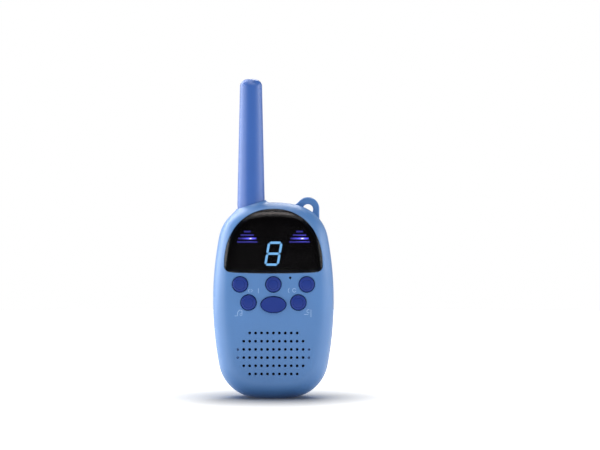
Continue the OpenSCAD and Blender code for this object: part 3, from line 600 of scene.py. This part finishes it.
def lanyard_eye():
    """A flat lug with rounded edges, closed round its hole."""
    ex, ez = EYE
    poly = [(9.6, 95.2), (11.6, 96.4), (12.6, 97.4)]
    k0, k1 = 132.0, 2.0
    for k in range(41):
        t = math.radians(k0 + (k1 - k0) * k / 40)
        poly.append((ex + 5.7 * math.cos(t), ez + 0.4 + 5.7 * math.sin(t)))
    poly += [(22.85, 91.0), (22.85, 86.4), (20.5, 86.6), (14, 90.4), (10.2, 93.4)]
    poly = np.array(poly)
    n = 96
    rad = []
    for k in range(n):
        t = 2 * math.pi * k / n
        d = np.array([math.cos(t), math.sin(t)])
        best = 1e9
        for j in range(len(poly)):
            a, b = poly[j] - np.array(EYE), poly[(j + 1) % len(poly)] - np.array(EYE)
            e = b - a
            det = d[0] * -e[1] + d[1] * e[0]
            if abs(det) < 1e-12:
                continue
            s = (a[0] * -e[1] + a[1] * e[0]) / det
            u = (d[0] * a[1] - d[1] * a[0]) / det
            if s > 0 and -1e-9 <= u <= 1 + 1e-9:
                best = min(best, s)
        rad.append(best)
    rad = np.array(rad)
    rad = (np.roll(rad, 1) + 2 * rad + np.roll(rad, -1)) / 4  # the fillets are soft
    t = np.arange(n) * 2 * math.pi / n
    y0, y1, b = 0.3, 3.3, 0.7

    def at(r, y):
        return np.stack([ex + r * np.cos(t), np.full(n, y), ez + r * np.sin(t)], -1)

    rings = []
    hb = 0.45
    for k in range(6):  # hole lip, front
        q = math.pi / 2 * k / 5
        rings.append(at(np.full(n, 2.6 + hb * (1 - math.cos(q))), y0 + hb * (1 - math.sin(q))))
    for k in range(7):  # outer edge, front then back
        q = math.pi / 2 * k / 6
        rings.append(at(rad - b + b * math.sin(q), y0 + b * (1 - math.cos(q))))
    for k in range(7):
        q = math.pi / 2 * k / 6
        rings.append(at(rad - b + b * math.cos(q), y1 - b * (1 - math.sin(q))))
    for k in range(6):
        q = math.pi / 2 * k / 5
        rings.append(at(np.full(n, 2.6 + hb * (1 - math.sin(q))), y1 - hb * (1 - math.cos(q))))
    return Mesh().loft(rings, closed=True).obj("eye")


def lens():
    c = (0.0, 76.0)
    g = 0.07
    w = window(g)
    nr = outward(w)
    b, rec = 0.22, 0.06
    rings = [lift(w, -1, 1.2)]
    for k in range(6):
        t = math.pi / 2 * k / 5
        rings.append(lift(w - nr * b * (1 - math.cos(t)), -1, 0, -rec - b * (1 - math.sin(t))))
    w2 = w - nr * b
    for s in (0.985, 0.965, 0.94, 0.91, 0.87, 0.82, 0.76, 0.69, 0.61, 0.52, 0.42, 0.31, 0.2, 0.09):
        rings.append(lift(scaled(w2, c, s), -1, 0, -rec))
    back = [lift(scaled(w, c, s), -1, 1.2) for s in (0.09, 0.31, 0.52, 0.69, 0.82, 0.91, 0.965)]
    n = len(w)
    # the back runs from its middle out to the edge, then round the edge and in to the front's middle
    m = Mesh().loft(back + rings, closed=False, caps=False)
    m.f.append(tuple(range(n - 1, -1, -1)))
    m.f.append(tuple(range((len(back + rings) - 1) * n, len(back + rings) * n)))
    ob = m.obj("display_lens")
    return shade(ob, 0, 50)


def door():
    g = door_curve(0.0)
    nr = outward(g)
    c = (0.0, 34.0)
    b = 0.35
    rings = [lift(g, 1, 1.6)]
    for k in range(6):
        t = math.pi / 2 * k / 5
        rings.append(lift(g - nr * b * (1 - math.cos(t)), 1, 0, -b * (1 - math.sin(t))))
    w2 = g - nr * b
    for s in (0.97, 0.94, 0.9, 0.84, 0.76, 0.66):
        rings.append(lift(scaled(w2, c, s), 1))
    back = [lift(scaled(g, c, s), 1, 1.6) for s in (0.66, 0.84, 0.94)]
    m = Mesh()
    n = len(g)
    m.loft(rings, caps=False)
    m.f.append(tuple(range((len(rings) - 1) * n, len(rings) * n)))
    o = len(m.v)
    m.v += [tuple(p) for r in back for p in r]
    m.f.append(tuple(range(o + n - 1, o - 1, -1)))
    for j in range(2):
        for k in range(n):
            k1 = (k + 1) % n
            m.f.append((o + j * n + k, o + j * n + k1, o + (j + 1) * n + k1, o + (j + 1) * n + k))
    for k in range(n):
        k1 = (k + 1) % n
        m.f.append((o + 2 * n + k, o + 2 * n + k1, k1, k))
    ob = m.obj("door")
    cut = Mesh()
    for k in range(5):
        z = 20.45 - k * 1.8
        hw = 7 - k * 0.8
        rings = []
        for y, s in ((17.0, 0.62), (D_R + 0.02, 0.6), (D_R - 0.2, 0.48), (D_R - 0.4, 0.28), (D_R - 0.45, 0.1)):
            t = np.arange(24) * 2 * math.pi / 24
            x = np.where(np.cos(t) >= 0, hw - 0.45, -hw + 0.45) + s * np.cos(t)
            rings.append(np.stack([x, np.full(24, y), z + s * np.sin(t)], -1))
        cut.loft(rings)
    boolean(ob, cut.obj("cut"))
    notch = Mesh()
    t = np.arange(48) * 2 * math.pi / 48
    notch.loft([np.stack([np.full(48, x), 16.2 + r * np.cos(t), 6.9 + r * np.sin(t)], -1) for x, r in ((-6, 2.2), (-5.8, 2.5), (-5.5, 2.6), (5.5, 2.6), (5.8, 2.5), (6, 2.2))])
    boolean(ob, notch.obj("cut"))
    m = Mesh()
    for x in (-10, 10):
        m.box(x - 3, x + 3, 11.22, 13.3, 60.12, 61.33, 0.2)
        m.box(x - 3, x + 3, 11.22, 12.38, 60.12, 63.38, 0.3)
    m.box(-4, 4, 9.82, 13.4, 8.62, 9.78, 0.25)
    # stiffening ribs inside
    for z in (22, 34, 46):
        m.box(-15.5, 15.5, 12.72, 13.3, z - 0.4, z + 0.4, 0.12)
    ob = join("battery_door_panel", ob, m.obj("hooks"))
    return shade(ob, 1)


def key(name, x, z):
    r = 3.7
    prof = [(0.0, -9.4), (1.5, -9.4), (1.5, -10.4), (4.4, -10.4), (4.5, -10.5), (4.5, -11.2), (4.4, -11.3), (r, -11.3)]
    b = 0.8
    for k in range(13):
        t = math.pi / 2 * k / 12
        prof.append((r - b * (1 - math.cos(t)), -14.6 + 0.12 + (b - 0.1) * (1 - math.sin(t))))
    # a fine groove just inside the rounded edge
    prof += [(r - b - 0.14, -14.52), (r - b - 0.28, -14.44), (r - b - 0.42, -14.34), (r - b - 0.56, -14.44), (r - b - 0.7, -14.55)]
    prof += [(r - b - 1.4, -14.59), (0.6, -14.6), (0.0, -14.6)]
    return Mesh().turned(x, z, prof, 72).obj(name)


def talk_key():
    x, z, a, bb = TALK
    a, bb = a - 0.3, bb - 0.3
    prof = [(1.5 - bb, -9.4), (1.5 - bb, -10.4), (0.6, -10.4), (0.7, -10.5), (0.7, -11.2), (0.6, -11.3), (0.0, -11.3)]
    b = 0.85
    for k in range(13):
        t = math.pi / 2 * k / 12
        prof.append((-b * (1 - math.cos(t)), -14.6 + 0.12 + (b - 0.1) * (1 - math.sin(t))))
    prof += [(-b - 0.14, -14.52), (-b - 0.28, -14.44), (-b - 0.42, -14.34), (-b - 0.56, -14.44), (-b - 0.7, -14.55)]
    prof += [(-b - 1.6, -14.59), (-bb + 0.5, -14.6)]
    return Mesh().turned(x, z, prof, 96, a, bb).obj("talk_key")


def dome(name, x, z):
    """Soft dome under a key, with the conductive pill inside it."""
    prof = [(0.0, -9.36), (1.7, -9.36), (1.84, -9.33), (1.93, -9.24), (2.0, -9.1), (2.3, -8.84), (2.75, -8.42), (3.08, -8.12),
            (3.17, -8.02), (3.2, -7.9), (3.2, -7.12), (3.1, -7.0), (2.7, -7.0), (2.6, -7.1), (2.6, -7.72), (2.56, -7.82),
            (2.1, -8.22), (1.6, -8.64), (1.5, -8.7), (1.1, -8.7), (1.1, -8.3), (1.0, -8.2), (0.0, -8.2)]
    return shade(Mesh().turned(x, z, prof, 48).obj(name), 0, 40)


def antenna():
    r0, r1, top = 6.8, 5.45, 158.2
    prof = [(0.0, 86.0), (6.4, 86.0), (6.6, 86.2), (6.6, 88.0), (6.4, 88.2), (5.1, 88.2), (5.0, 88.4), (5.0, 91.2), (6.6, 92.2), (r0, 96.0)]
    for k in range(1, 12):
        z = 96 + (top - 3.4 - 96) * k / 12
        prof.append((r0 + (r1 - r0) * k / 12, z))
    for k in range(0, 17):
        t = math.pi / 2 * k / 16
        prof.append((r1 * (0.12 + 0.88 * max(math.cos(t), 0) ** 0.75), top - 3.4 + 3.4 * math.sin(t) ** 1.1))
    prof += [(0.3, top), (0.0, top)]
    return shade(Mesh().turned(AX, 0, prof, 112, axis="z").obj("antenna"), 0, 40)


def cell(name, x, up):
    z0 = 13.6 if up else 10.4
    R, L = 5.2, 44.5
    prof = [(0, 0.25), (2.9, 0.25), (3.1, 0.0), (3.9, 0.0), (4.3, 0.15), (4.75, 0.2), (5.0, 0.28), (R, 0.6)]
    prof = [(r, h) for r, h in prof]
    body = [(R, 1.6), (R, 22.0), (R, 42.2), (R - 0.06, 43.0), (R - 0.3, 43.45), (4.4, 43.6), (3.4, 43.62), (2.9, 43.35), (2.1, 43.4), (1.95, 43.5), (1.9, 44.3), (1.7, 44.5), (0, 44.5)]
    p = prof + body
    if not up:
        p = [(r, L - h) for r, h in reversed(p)]
    return shade(Mesh().turned(x, 0, [(r, z0 + h) for r, h in p], 72, axis="z", y=7.35).obj(name), 0, 40)


# ------------------------------------------------------------------ printed marks beside the keys
def stroke(m, pts, w=0.3, y0=-D_F + 0.02, y1=-D_F - 0.012):
    pts = [np.array(p, float) for p in pts]
    left, right = [], []
    for k, p in enumerate(pts):
        a, b = pts[max(0, k - 1)], pts[min(len(pts) - 1, k + 1)]
        d = (b - a) / (np.linalg.norm(b - a) + 1e-9)
        nrm = np.array([-d[1], d[0]]) * w / 2
        left.append(p + nrm)
        right.append(p - nrm)
    ring = left + right[::-1]
    m.loft([np.array([(x, y1, z) for x, z in ring]), np.array([(x, y0, z) for x, z in ring])])


def arc2(cx, cz, r, a0, a1, n=12):
    return [(cx + r * math.cos(math.radians(a0 + (a1 - a0) * k / n)), cz + r * math.sin(math.radians(a0 + (a1 - a0) * k / n))) for k in range(n + 1)]


def marks():
    m = Mesh()
    # sound waves, upper left
    x, z = -10.6, 53.7
    stroke(m, arc2(x - 1.0, z, 0.75, 100, 260), 0.26)
    stroke(m, [(x - 0.6, z + 0.7), (x + 0.5, z + 0.1), (x - 0.6, z - 0.7)], 0.26)
    stroke(m, [(x + 3.2, z + 1.2), (x + 3.2, z - 1.2)], 0.26)
    # lamp ring, upper right
    x, z = 9.4, 53.8
    stroke(m, arc2(x - 0.6, z, 1.5, 130, 230), 0.26)
    stroke(m, arc2(x + 0.9, z + 0.1, 0.9, 20, 340), 0.26)
    # note, lower left
    x, z = -17.2, 42.8
    stroke(m, [(x - 1.9, z - 1.5), (x - 0.5, z - 1.5), (x - 0.5, z + 0.2)], 0.28)
    stroke(m, [(x - 0.5, z + 0.2), (x + 0.5, z + 1.4), (x + 1.7, z + 1.1), (x + 1.7, z - 0.9)], 0.28)
    stroke(m, arc2(x + 1.2, z - 0.9, 0.52, 60, 390), 0.22)
    # hook, lower right
    x, z = 17.0, 42.6
    stroke(m, [(x - 1.9, z - 0.6), (x + 0.2, z - 0.6)], 0.28)
    stroke(m, arc2(x + 0.3, z + 1.0, 0.8, 60, 300), 0.28)
    stroke(m, [(x + 1.5, z + 1.8), (x + 1.5, z - 1.9)], 0.28)
    return m.obj("printed_marks")


# ------------------------------------------------------------------ materials
def lin(c):
    return tuple(((v / 255) / 12.92 if v / 255 <= 0.04045 else ((v / 255 + 0.055) / 1.055) ** 2.4) for v in c)


class Mat:
    def __init__(self, name):
        self.m = bpy.data.materials.new(name)
        self.m.use_nodes = True
        self.nt = self.m.node_tree
        self.p = next(n for n in self.nt.nodes if n.type == "BSDF_PRINCIPLED")
        self.tc = self.nt.nodes.new("ShaderNodeTexCoord")

    def node(self, kind, **kw):
        n = self.nt.nodes.new(kind)
        for k, v in kw.items():
            if hasattr(n, k) and k not in n.inputs:
                setattr(n, k, v)
            else:
                n.inputs[k].default_value = v
        return n

    def link(self, a, b):
        self.nt.links.new(a, b)

    def noise(self, scale, detail=3.0, rough=0.5, stretch=None):
        n = self.node("ShaderNodeTexNoise")
        n.inputs["Scale"].default_value = scale
        n.inputs["Detail"].default_value = detail
        n.inputs["Roughness"].default_value = rough
        if stretch:
            mp = self.node("ShaderNodeMapping")
            mp.inputs["Scale"].default_value = stretch
            self.link(self.tc.outputs["Object"], mp.inputs["Vector"])
            self.link(mp.outputs[0], n.inputs["Vector"])
        else:
            self.link(self.tc.outputs["Object"], n.inputs["Vector"])
        return n.outputs["Fac"]

    def ramp(self, fac, stops):
        r = self.node("ShaderNodeValToRGB")
        el = r.color_ramp.elements
        while len(el) < len(stops):
            el.new(0.5)
        for e, (pos, col) in zip(el, stops):
            e.position = pos
            e.color = (*col, 1.0) if len(col) == 3 else col
        self.link(fac, r.inputs["Fac"])
        return r.outputs["Color"]

    def remap(self, fac, a, b, lo_, hi_):
        r = self.node("ShaderNodeMapRange")
        r.inputs["From Min"].default_value = a
        r.inputs["From Max"].default_value = b
        r.inputs["To Min"].default_value = lo_
        r.inputs["To Max"].default_value = hi_
        self.link(fac, r.inputs["Value"])
        return r.outputs["Result"]

    def bump(self, height, strength, dist, normal=None):
        b = self.node("ShaderNodeBump")
        b.inputs["Strength"].default_value = strength
        b.inputs["Distance"].default_value = dist
        self.link(height, b.inputs["Height"])
        if normal is not None:
            self.link(normal, b.inputs["Normal"])
        return b.outputs["Normal"]

    def set(self, **kw):
        for k, v in kw.items():
            self.p.inputs[k.replace("_", " ")].default_value = v
        return self


def plastic(name, col, rough=0.4, vary=0.04, grain=900.0, bump=0.04, spec=0.5, sheen=0.0):
    a = Mat(name)
    n1 = a.noise(45.0, 3.0)
    c0, c1 = tuple(c * (1 - vary) for c in col), tuple(min(1, c * (1 + vary)) for c in col)
    a.link(a.ramp(n1, [(0.3, c0), (0.7, c1)]), a.p.inputs["Base Color"])
    n2 = a.noise(grain * 1.7, 2.0)
    a.link(a.remap(n2, 0.3, 0.7, rough - 0.05, rough + 0.06), a.p.inputs["Roughness"])
    a.link(a.bump(a.noise(grain * 4, 2.0), bump, 0.00004), a.p.inputs["Normal"])
    a.set(**{"Specular_IOR_Level": spec})
    if sheen:
        a.set(Sheen_Weight=sheen, Sheen_Roughness=0.45)
    return a.m


def metal(name, col, rough=0.3, stretch=None, scale=300.0, bump=0.05):
    a = Mat(name)
    n = a.noise(scale, 4.0, 0.6, stretch)
    a.link(a.ramp(n, [(0.25, tuple(c * 0.86 for c in col)), (0.75, tuple(min(1, c * 1.06) for c in col))]), a.p.inputs["Base Color"])
    a.link(a.remap(n, 0.25, 0.75, rough - 0.07, rough + 0.1), a.p.inputs["Roughness"])
    a.link(a.bump(n, bump, 0.00005), a.p.inputs["Normal"])
    a.set(Metallic=1.0)
    return a.m


def glow(name, col, strength, base=(0.2, 0.3, 0.4), spots=None):
    a = Mat(name)
    n = a.noise(600.0, 2.0)
    a.link(a.ramp(n, [(0.3, tuple(c * 0.9 for c in base)), (0.7, base)]), a.p.inputs["Base Color"])
    a.set(Roughness=0.35)
    if spots is None:
        a.link(a.ramp(n, [(0.2, tuple(c * 0.93 for c in col)), (0.8, col)]), a.p.inputs["Emission Color"])
        a.set(Emission_Strength=strength)
    else:
        # a hot core where the lamp sits behind the diffuser, falling off along each bar
        total = None
        for (cx, cz, sx, sz) in spots:
            mp = a.node("ShaderNodeMapping")
            mp.vector_type = "POINT"
            mp.inputs["Location"].default_value = (-cx * MM / (sx * MM), 0, -cz * MM / (sz * MM))
            mp.inputs["Scale"].default_value = (1 / (sx * MM), 0.0, 1 / (sz * MM))
            a.link(a.tc.outputs["Object"], mp.inputs["Vector"])
            ln = a.node("ShaderNodeVectorMath", operation="LENGTH")
            a.link(mp.outputs[0], ln.inputs[0])
            r = a.remap(ln.outputs["Value"], 0.0, 1.0, 1.0, 0.0)
            if total is None:
                total = r
            else:
                mx = a.node("ShaderNodeMath", operation="MAXIMUM")
                a.link(total, mx.inputs[0])
                a.link(r, mx.inputs[1])
                total = mx.outputs[0]
        a.link(a.ramp(total, [(0.0, tuple(c * 0.16 for c in col)), (0.45, tuple(c * 0.5 for c in col)), (0.8, col), (1.0, (1.0, 1.0, 1.0))]), a.p.inputs["Emission Color"])
        a.set(Emission_Strength=strength)
    return a.m


BLUE = (0.078, 0.243, 0.585)
ANTB = (0.038, 0.143, 0.52)
KEYB = (0.013, 0.041, 0.275)
M = {}
M["blue_shell"] = plastic("blue_plastic", BLUE, 0.42, 0.035, 900.0, 0.05, 1.0, 0.15)
M["button_blue"] = plastic("key_plastic", KEYB, 0.4, 0.05, 1100.0, 0.07, 0.3)
M["antenna_blue"] = plastic("antenna_plastic", ANTB, 0.4, 0.04, 900.0, 0.06, 0.9, 0.1)
M["marks"] = plastic("printed_ink", lin((168, 200, 238)), 0.5, 0.05)


def lens_mat():
    """Smoked acrylic: glossy and nearly black, and lit parts show through it."""
    a = Mat("smoked_acrylic")
    n = a.noise(30.0, 2.0)
    a.link(a.ramp(n, [(0.3, (0.0016, 0.0014, 0.0018)), (0.7, (0.0026, 0.0022, 0.0028))]), a.p.inputs["Base Color"])
    a.link(a.remap(a.noise(120.0, 2.0), 0.3, 0.7, 0.1, 0.14), a.p.inputs["Roughness"])
    a.set(IOR=1.5, Alpha=0.7)
    return a.m


M["smoked_lens"] = lens_mat()
M["black_plastic"] = plastic("black_plastic", (0.004, 0.004, 0.0045), 0.6, 0.1, 700.0, 0.08, 0.2)
M["lit_digit"] = glow("lit_digit", lin((128, 191, 247)), 10.5, (0.3, 0.5, 0.6))
EYE_X = 12.9
M["lit_bars"] = glow("lit_bars", lin((96, 92, 238)), 18.0, (0.1, 0.1, 0.3),
                     [(-EYE_X + 1.6, 79.4, 4.4, 1.6), (EYE_X + 1.4, 79.4, 5.4, 1.9)])
M["led_body"] = plastic("lamp_resin", (0.8, 0.8, 0.7), 0.25, 0.03)
M["grey_silicone"] = plastic("grey_silicone", (0.45, 0.46, 0.5), 0.65, 0.05, 400.0, 0.1, 0.35)


def board_mat():
    a = Mat("board_mask")
    mp = a.node("ShaderNodeMapping")
    mp.inputs["Rotation"].default_value = (math.radians(90), 0, 0)
    a.link(a.tc.outputs["Object"], mp.inputs["Vector"])
    br = a.node("ShaderNodeTexBrick")
    br.inputs["Scale"].default_value = 260.0
    br.inputs["Mortar Size"].default_value = 0.05
    br.inputs["Color1"].default_value = (0.012, 0.11, 0.035, 1)
    br.inputs["Color2"].default_value = (0.018, 0.15, 0.05, 1)
    br.inputs["Mortar"].default_value = (0.03, 0.24, 0.09, 1)
    a.link(mp.outputs[0], br.inputs["Vector"])
    a.link(br.outputs["Color"], a.p.inputs["Base Color"])
    a.link(a.bump(br.outputs["Fac"], 0.15, 0.00005), a.p.inputs["Normal"])
    a.link(a.remap(a.noise(200.0), 0.3, 0.7, 0.25, 0.38), a.p.inputs["Roughness"])
    return a.m


M["green_board"] = board_mat()
M["gold_pad"] = metal("gold_plate", (0.9, 0.66, 0.26), 0.25)
M["tinned_steel"] = metal("tin_plate", (0.7, 0.71, 0.72), 0.3, (1, 1, 14), 90.0)
M["black_resin"] = plastic("chip_resin", (0.02, 0.02, 0.022), 0.6, 0.12, 1500.0, 0.2)
M["capacitor_sleeve"] = plastic("capacitor_sleeve", (0.02, 0.025, 0.07), 0.3, 0.1)
def mic_mat():
    a = Mat("microphone_can")
    lo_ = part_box("microphone")[0]
    sep = a.node("ShaderNodeSeparateXYZ")
    a.link(a.tc.outputs["Object"], sep.inputs[0])
    f = a.remap(sep.outputs["Y"], lo_[1] + 0.0002, lo_[1] + 0.00022, 0.0, 1.0)
    a.link(a.ramp(f, [(0.0, (0.004, 0.004, 0.005)), (1.0, (0.75, 0.75, 0.76))]), a.p.inputs["Base Color"])
    a.link(f, a.p.inputs["Metallic"])
    a.link(a.remap(a.noise(900.0), 0.3, 0.7, 0.3, 0.5), a.p.inputs["Roughness"])
    return a.m


M["microphone_can"] = mic_mat()
M["black_rubber"] = plastic("black_rubber", (0.015, 0.015, 0.016), 0.75, 0.15, 500.0, 0.2, 0.3)
M["speaker_steel"] = metal("speaker_steel", (0.52, 0.53, 0.55), 0.34)
M["ferrite"] = plastic("ferrite", (0.05, 0.05, 0.055), 0.55, 0.2, 900.0, 0.3)
M["cone_paper"] = plastic("cone_paper", (0.025, 0.025, 0.027), 0.7, 0.2, 700.0, 0.4, 0.3)
M["black_foam"] = plastic("black_foam", (0.02, 0.02, 0.02), 0.9, 0.25, 1200.0, 0.6, 0.2)
M["terminal_board"] = plastic("laminate", (0.27, 0.14, 0.05), 0.5, 0.12)


def cloth_mat():
    a = Mat("grille_cloth")
    w1 = a.node("ShaderNodeTexWave")
    w1.bands_direction = "X"
    w1.inputs["Scale"].default_value = 900.0
    w2 = a.node("ShaderNodeTexWave")
    w2.bands_direction = "Z"
    w2.inputs["Scale"].default_value = 900.0
    for w in (w1, w2):
        a.link(a.tc.outputs["Object"], w.inputs["Vector"])
    mul = a.node("ShaderNodeMath", operation="MULTIPLY")
    a.link(w1.outputs["Fac"], mul.inputs[0])
    a.link(w2.outputs["Fac"], mul.inputs[1])
    a.link(a.ramp(mul.outputs[0], [(0.0, (0.002, 0.002, 0.003)), (1.0, (0.012, 0.012, 0.015))]), a.p.inputs["Base Color"])
    a.link(a.bump(mul.outputs[0], 0.5, 0.0001), a.p.inputs["Normal"])
    a.set(Roughness=0.9)
    return a.m


M["black_cloth"] = cloth_mat()
M["copper_wire"] = metal("enamelled_copper", (0.75, 0.3, 0.13), 0.3)
M["white_nylon"] = plastic("white_nylon", (0.75, 0.75, 0.72), 0.5, 0.03)
M["brass_contact"] = metal("turned_brass", (0.8, 0.58, 0.25), 0.28)
M["nickel_plate"] = metal("nickel_plate", (0.78, 0.78, 0.79), 0.2)
M["screw_zinc"] = metal("zinc_plate", (0.66, 0.68, 0.7), 0.32)
M["wire_red"] = plastic("red_insulation", (0.5, 0.012, 0.01), 0.4, 0.06)
M["wire_black"] = plastic("black_insulation", (0.012, 0.012, 0.013), 0.4, 0.1)
M["wire_white"] = plastic("white_insulation", (0.7, 0.7, 0.68), 0.4, 0.05)


def cell_mat():
    a = Mat("cell_jacket")
    sep = a.node("ShaderNodeSeparateXYZ")
    a.link(a.tc.outputs["Generated"], sep.inputs[0])
    z = sep.outputs["Z"]
    a.link(a.ramp(z, [(0.0, (0.72, 0.72, 0.74)), (0.028, (0.72, 0.72, 0.74)), (0.032, (0.03, 0.035, 0.05)), (0.2, (0.03, 0.035, 0.05)), (0.205, (0.5, 0.52, 0.56)),
                      (0.235, (0.5, 0.52, 0.56)), (0.24, (0.05, 0.09, 0.2)), (0.955, (0.05, 0.09, 0.2)), (0.96, (0.72, 0.72, 0.74)), (1.0, (0.72, 0.72, 0.74))]), a.p.inputs["Base Color"])
    a.link(a.ramp(z, [(0.028, (1, 1, 1)), (0.032, (0.15, 0.15, 0.15)), (0.955, (0.15, 0.15, 0.15)), (0.96, (1, 1, 1))]), a.p.inputs["Metallic"])
    a.link(a.remap(a.noise(260.0), 0.3, 0.7, 0.22, 0.34), a.p.inputs["Roughness"])
    return a.m


M["cell_jacket"] = cell_mat()


def dress(ob, mat):
    ob.data.materials.clear()
    ob.data.materials.append(mat)
    return ob


slots = {s["node"]: s["material_slot"] for s in frame["record"]["subparts"]}
for n, o in NODES.items():
    dress(o, M[slots[n]])

# ------------------------------------------------------------------ pieces
def piece(ob, body, slot_, mat, *nodes):
    dress(ob, mat)
    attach(ob, body)
    if nodes:
        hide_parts(*nodes)
    return ob


piece(front_shell(), "handset", "blue_shell", M["blue_shell"], "front_cover")
piece(rear_shell(), "handset", "blue_shell", M["blue_shell"], "rear_cover")
piece(antenna(), "handset", "blue_shell", M["antenna_blue"], "antenna_sleeve")
piece(lens(), "handset", "smoked_lens", M["smoked_lens"], "window_lens")
piece(door(), "battery_door_body", "blue_shell", M["blue_shell"], "battery_door")
for name, (x, z) in KEYS.items():
    piece(shade(key(name.replace("_button", "_key"), x, z), 0, 45), name + "_body", "button_blue", M["button_blue"], name)
for name, (x, z) in list(KEYS.items()) + [("talk_button", TALK[:2])]:
    d_ = piece(dome("dome_" + name.replace("_button", ""), x, z), "handset", "grey_silicone", M["grey_silicone"], "key_domes")
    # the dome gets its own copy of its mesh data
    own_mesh(d_)
piece(shade(talk_key(), 0, 45), "talk_button_body", "button_blue", M["button_blue"], "talk_button")
for nm, x, up in (("left", -11.0, True), ("middle", 0.0, False), ("right", 11.0, True)):
    piece(cell("cell_" + nm, x, up), "handset", "cell_jacket", M["cell_jacket"], "battery_cell_" + nm)
piece(marks(), "handset", None, M["marks"])

# ------------------------------------------------------------------ stage, light and camera
sc = bpy.context.scene
sc.view_settings.view_transform = "Standard"
sc.view_settings.look = "None"
sc.view_settings.exposure = 0.0
sc.view_settings.gamma = 1.0

w = bpy.data.worlds.new("studio")
sc.world = w
w.use_nodes = True
wn = w.node_tree
dim = wn.nodes["Background"]
dim.inputs[0].default_value, dim.inputs[1].default_value = (1.0, 1.0, 1.0, 1), 0.03
pale = wn.nodes.new("ShaderNodeBackground")
pale.inputs[0].default_value, pale.inputs[1].default_value = (1.0, 1.0, 1.0, 1), 1.0
path, mixw = wn.nodes.new("ShaderNodeLightPath"), wn.nodes.new("ShaderNodeMixShader")
wn.links.new(path.outputs["Is Camera Ray"], mixw.inputs[0])
wn.links.new(dim.outputs[0], mixw.inputs[1])
wn.links.new(pale.outputs[0], mixw.inputs[2])
wn.links.new(mixw.outputs[0], wn.nodes["World Output"].inputs[0])


def floor():
    """A wide round floor with painted shade: its glow is held low round the object so that its shadow reads darker, and
    rises to the white of the backdrop at its rim.
    """
    n, rad = 96, [0.0, 0.05, 0.1, 0.2, 0.35, 0.5, 0.65, 0.8]
    v, f = [(0.0, 0.0, 0.0)], []
    for r in rad[1:]:
        for k in range(n):
            t = 2 * math.pi * k / n
            v.append((r * math.cos(t), r * math.sin(t), 0.0))
    for k in range(n):
        f.append((0, 1 + k, 1 + (k + 1) % n))
    for j in range(len(rad) - 2):
        a, b = 1 + j * n, 1 + (j + 1) * n
        for k in range(n):
            f.append((a + k, b + k, b + (k + 1) % n, a + (k + 1) % n))
    me = bpy.data.meshes.new("studio_floor")
    me.from_pydata(v, [], f)
    ob = bpy.data.objects.new("studio_floor", me)
    sc.collection.objects.link(ob)
    a = Mat("studio_white_painted_shade")
    n1 = a.noise(3.0, 2.0)
    a.link(a.ramp(n1, [(0.3, (0.84, 0.84, 0.84)), (0.7, (0.86, 0.86, 0.86))]), a.p.inputs["Base Color"])
    a.set(Roughness=0.9, Specular_IOR_Level=0.1, Emission_Color=(1, 1, 1, 1))
    ln = a.node("ShaderNodeVectorMath", operation="LENGTH")
    a.link(a.tc.outputs["Object"], ln.inputs[0])
    # painted shadow: the floor's emission is near zero within 17 mm of the centre and reaches full strength at 66 mm, a
    # darker pool round the object's foot
    a.link(a.remap(ln.outputs["Value"], 0.017, 0.066, 0.03, 1.0), a.p.inputs["Emission Strength"])
    dress(ob, a.m)
    return ob


ground = floor()
# only the back and overhead softboxes light the floor, so that the object's own shadow grounds it
flagged = bpy.data.collections.new("flagged_off")
flagged.objects.link(ground)
flagged.collection_objects[0].light_linking.link_state = "EXCLUDE"


def soft(name, az, el, rad, size=0.36, dist=0.9, col=(1, 1, 1)):
    """A square softbox; azimuth 0 is in front, 90 on the right; rad is its brightness."""
    a, e = math.radians(az), math.radians(el)
    c = Vector((0, 0, 0.07))
    loc = c + Vector((math.sin(a) * math.cos(e), -math.cos(a) * math.cos(e), math.sin(e))) * dist
    loc.z = max(loc.z, 0.05)
    ld = bpy.data.lights.new(name, "AREA")
    ld.shape, ld.size, ld.energy, ld.color = "SQUARE", size, math.pi * size * size * rad, col
    ob = bpy.data.objects.new(name, ld)
    sc.collection.objects.link(ob)
    ob.location = loc
    ob.rotation_euler = (c - loc).to_track_quat("-Z", "Y").to_euler()
    return ob


for nm_, az_, el_, rad_, sz_ in (
        ("left", -90, 12, 3.9, 0.44), ("left_rear", -120, 12, 4.0, 0.5), ("left_low", -60, -6, 4.2, 0.36), ("left_back", -135, 42, 5.0, 0.6),
        ("left_high", -90, 68, 1.8, 0.36), ("back", 170, 36, 4.2, 0.36), ("back_high", 180, 68, 1.7, 0.36), ("top", 0, 90, 1.8, 0.36),
        ("right", 90, 12, 4.3, 0.36), ("right_rear", 120, 12, 1.9, 0.36), ("right_low", 60, -6, 1.8, 0.36), ("right_front", 45, 42, 2.0, 0.36),
        ("left_front", -45, 42, 0.9, 0.36), ("front_high", 0, 57, 3.0, 0.34), ("front_wide", 0, 52, 0.8, 0.7)):
    lamp = soft(nm_, az_, el_, rad_, sz_, col=(1, 0.9, 0.88) if nm_ == "front_high" else (1, 1, 1))
    if nm_ not in ("back", "back_high", "top", "left_high"):
        lamp.light_linking.receiver_collection = flagged

cam = bpy.data.cameras.new("view")
cam.lens, cam.sensor_width = 181.65, 36.0
co = bpy.data.objects.new("view", cam)
sc.collection.objects.link(co)
ELEV = math.radians(1.8)
DIST = 1.50
tgt = Vector((0, -0.005, 0.079))
co.location = tgt + Vector((0, -math.cos(ELEV), math.sin(ELEV))) * DIST
co.rotation_euler = (tgt - co.location).to_track_quat("-Z", "Y").to_euler()
cam.shift_x, cam.shift_y = 0.0443, 0.0232
cam.clip_start, cam.clip_end = 0.01, 20
sc.camera = co
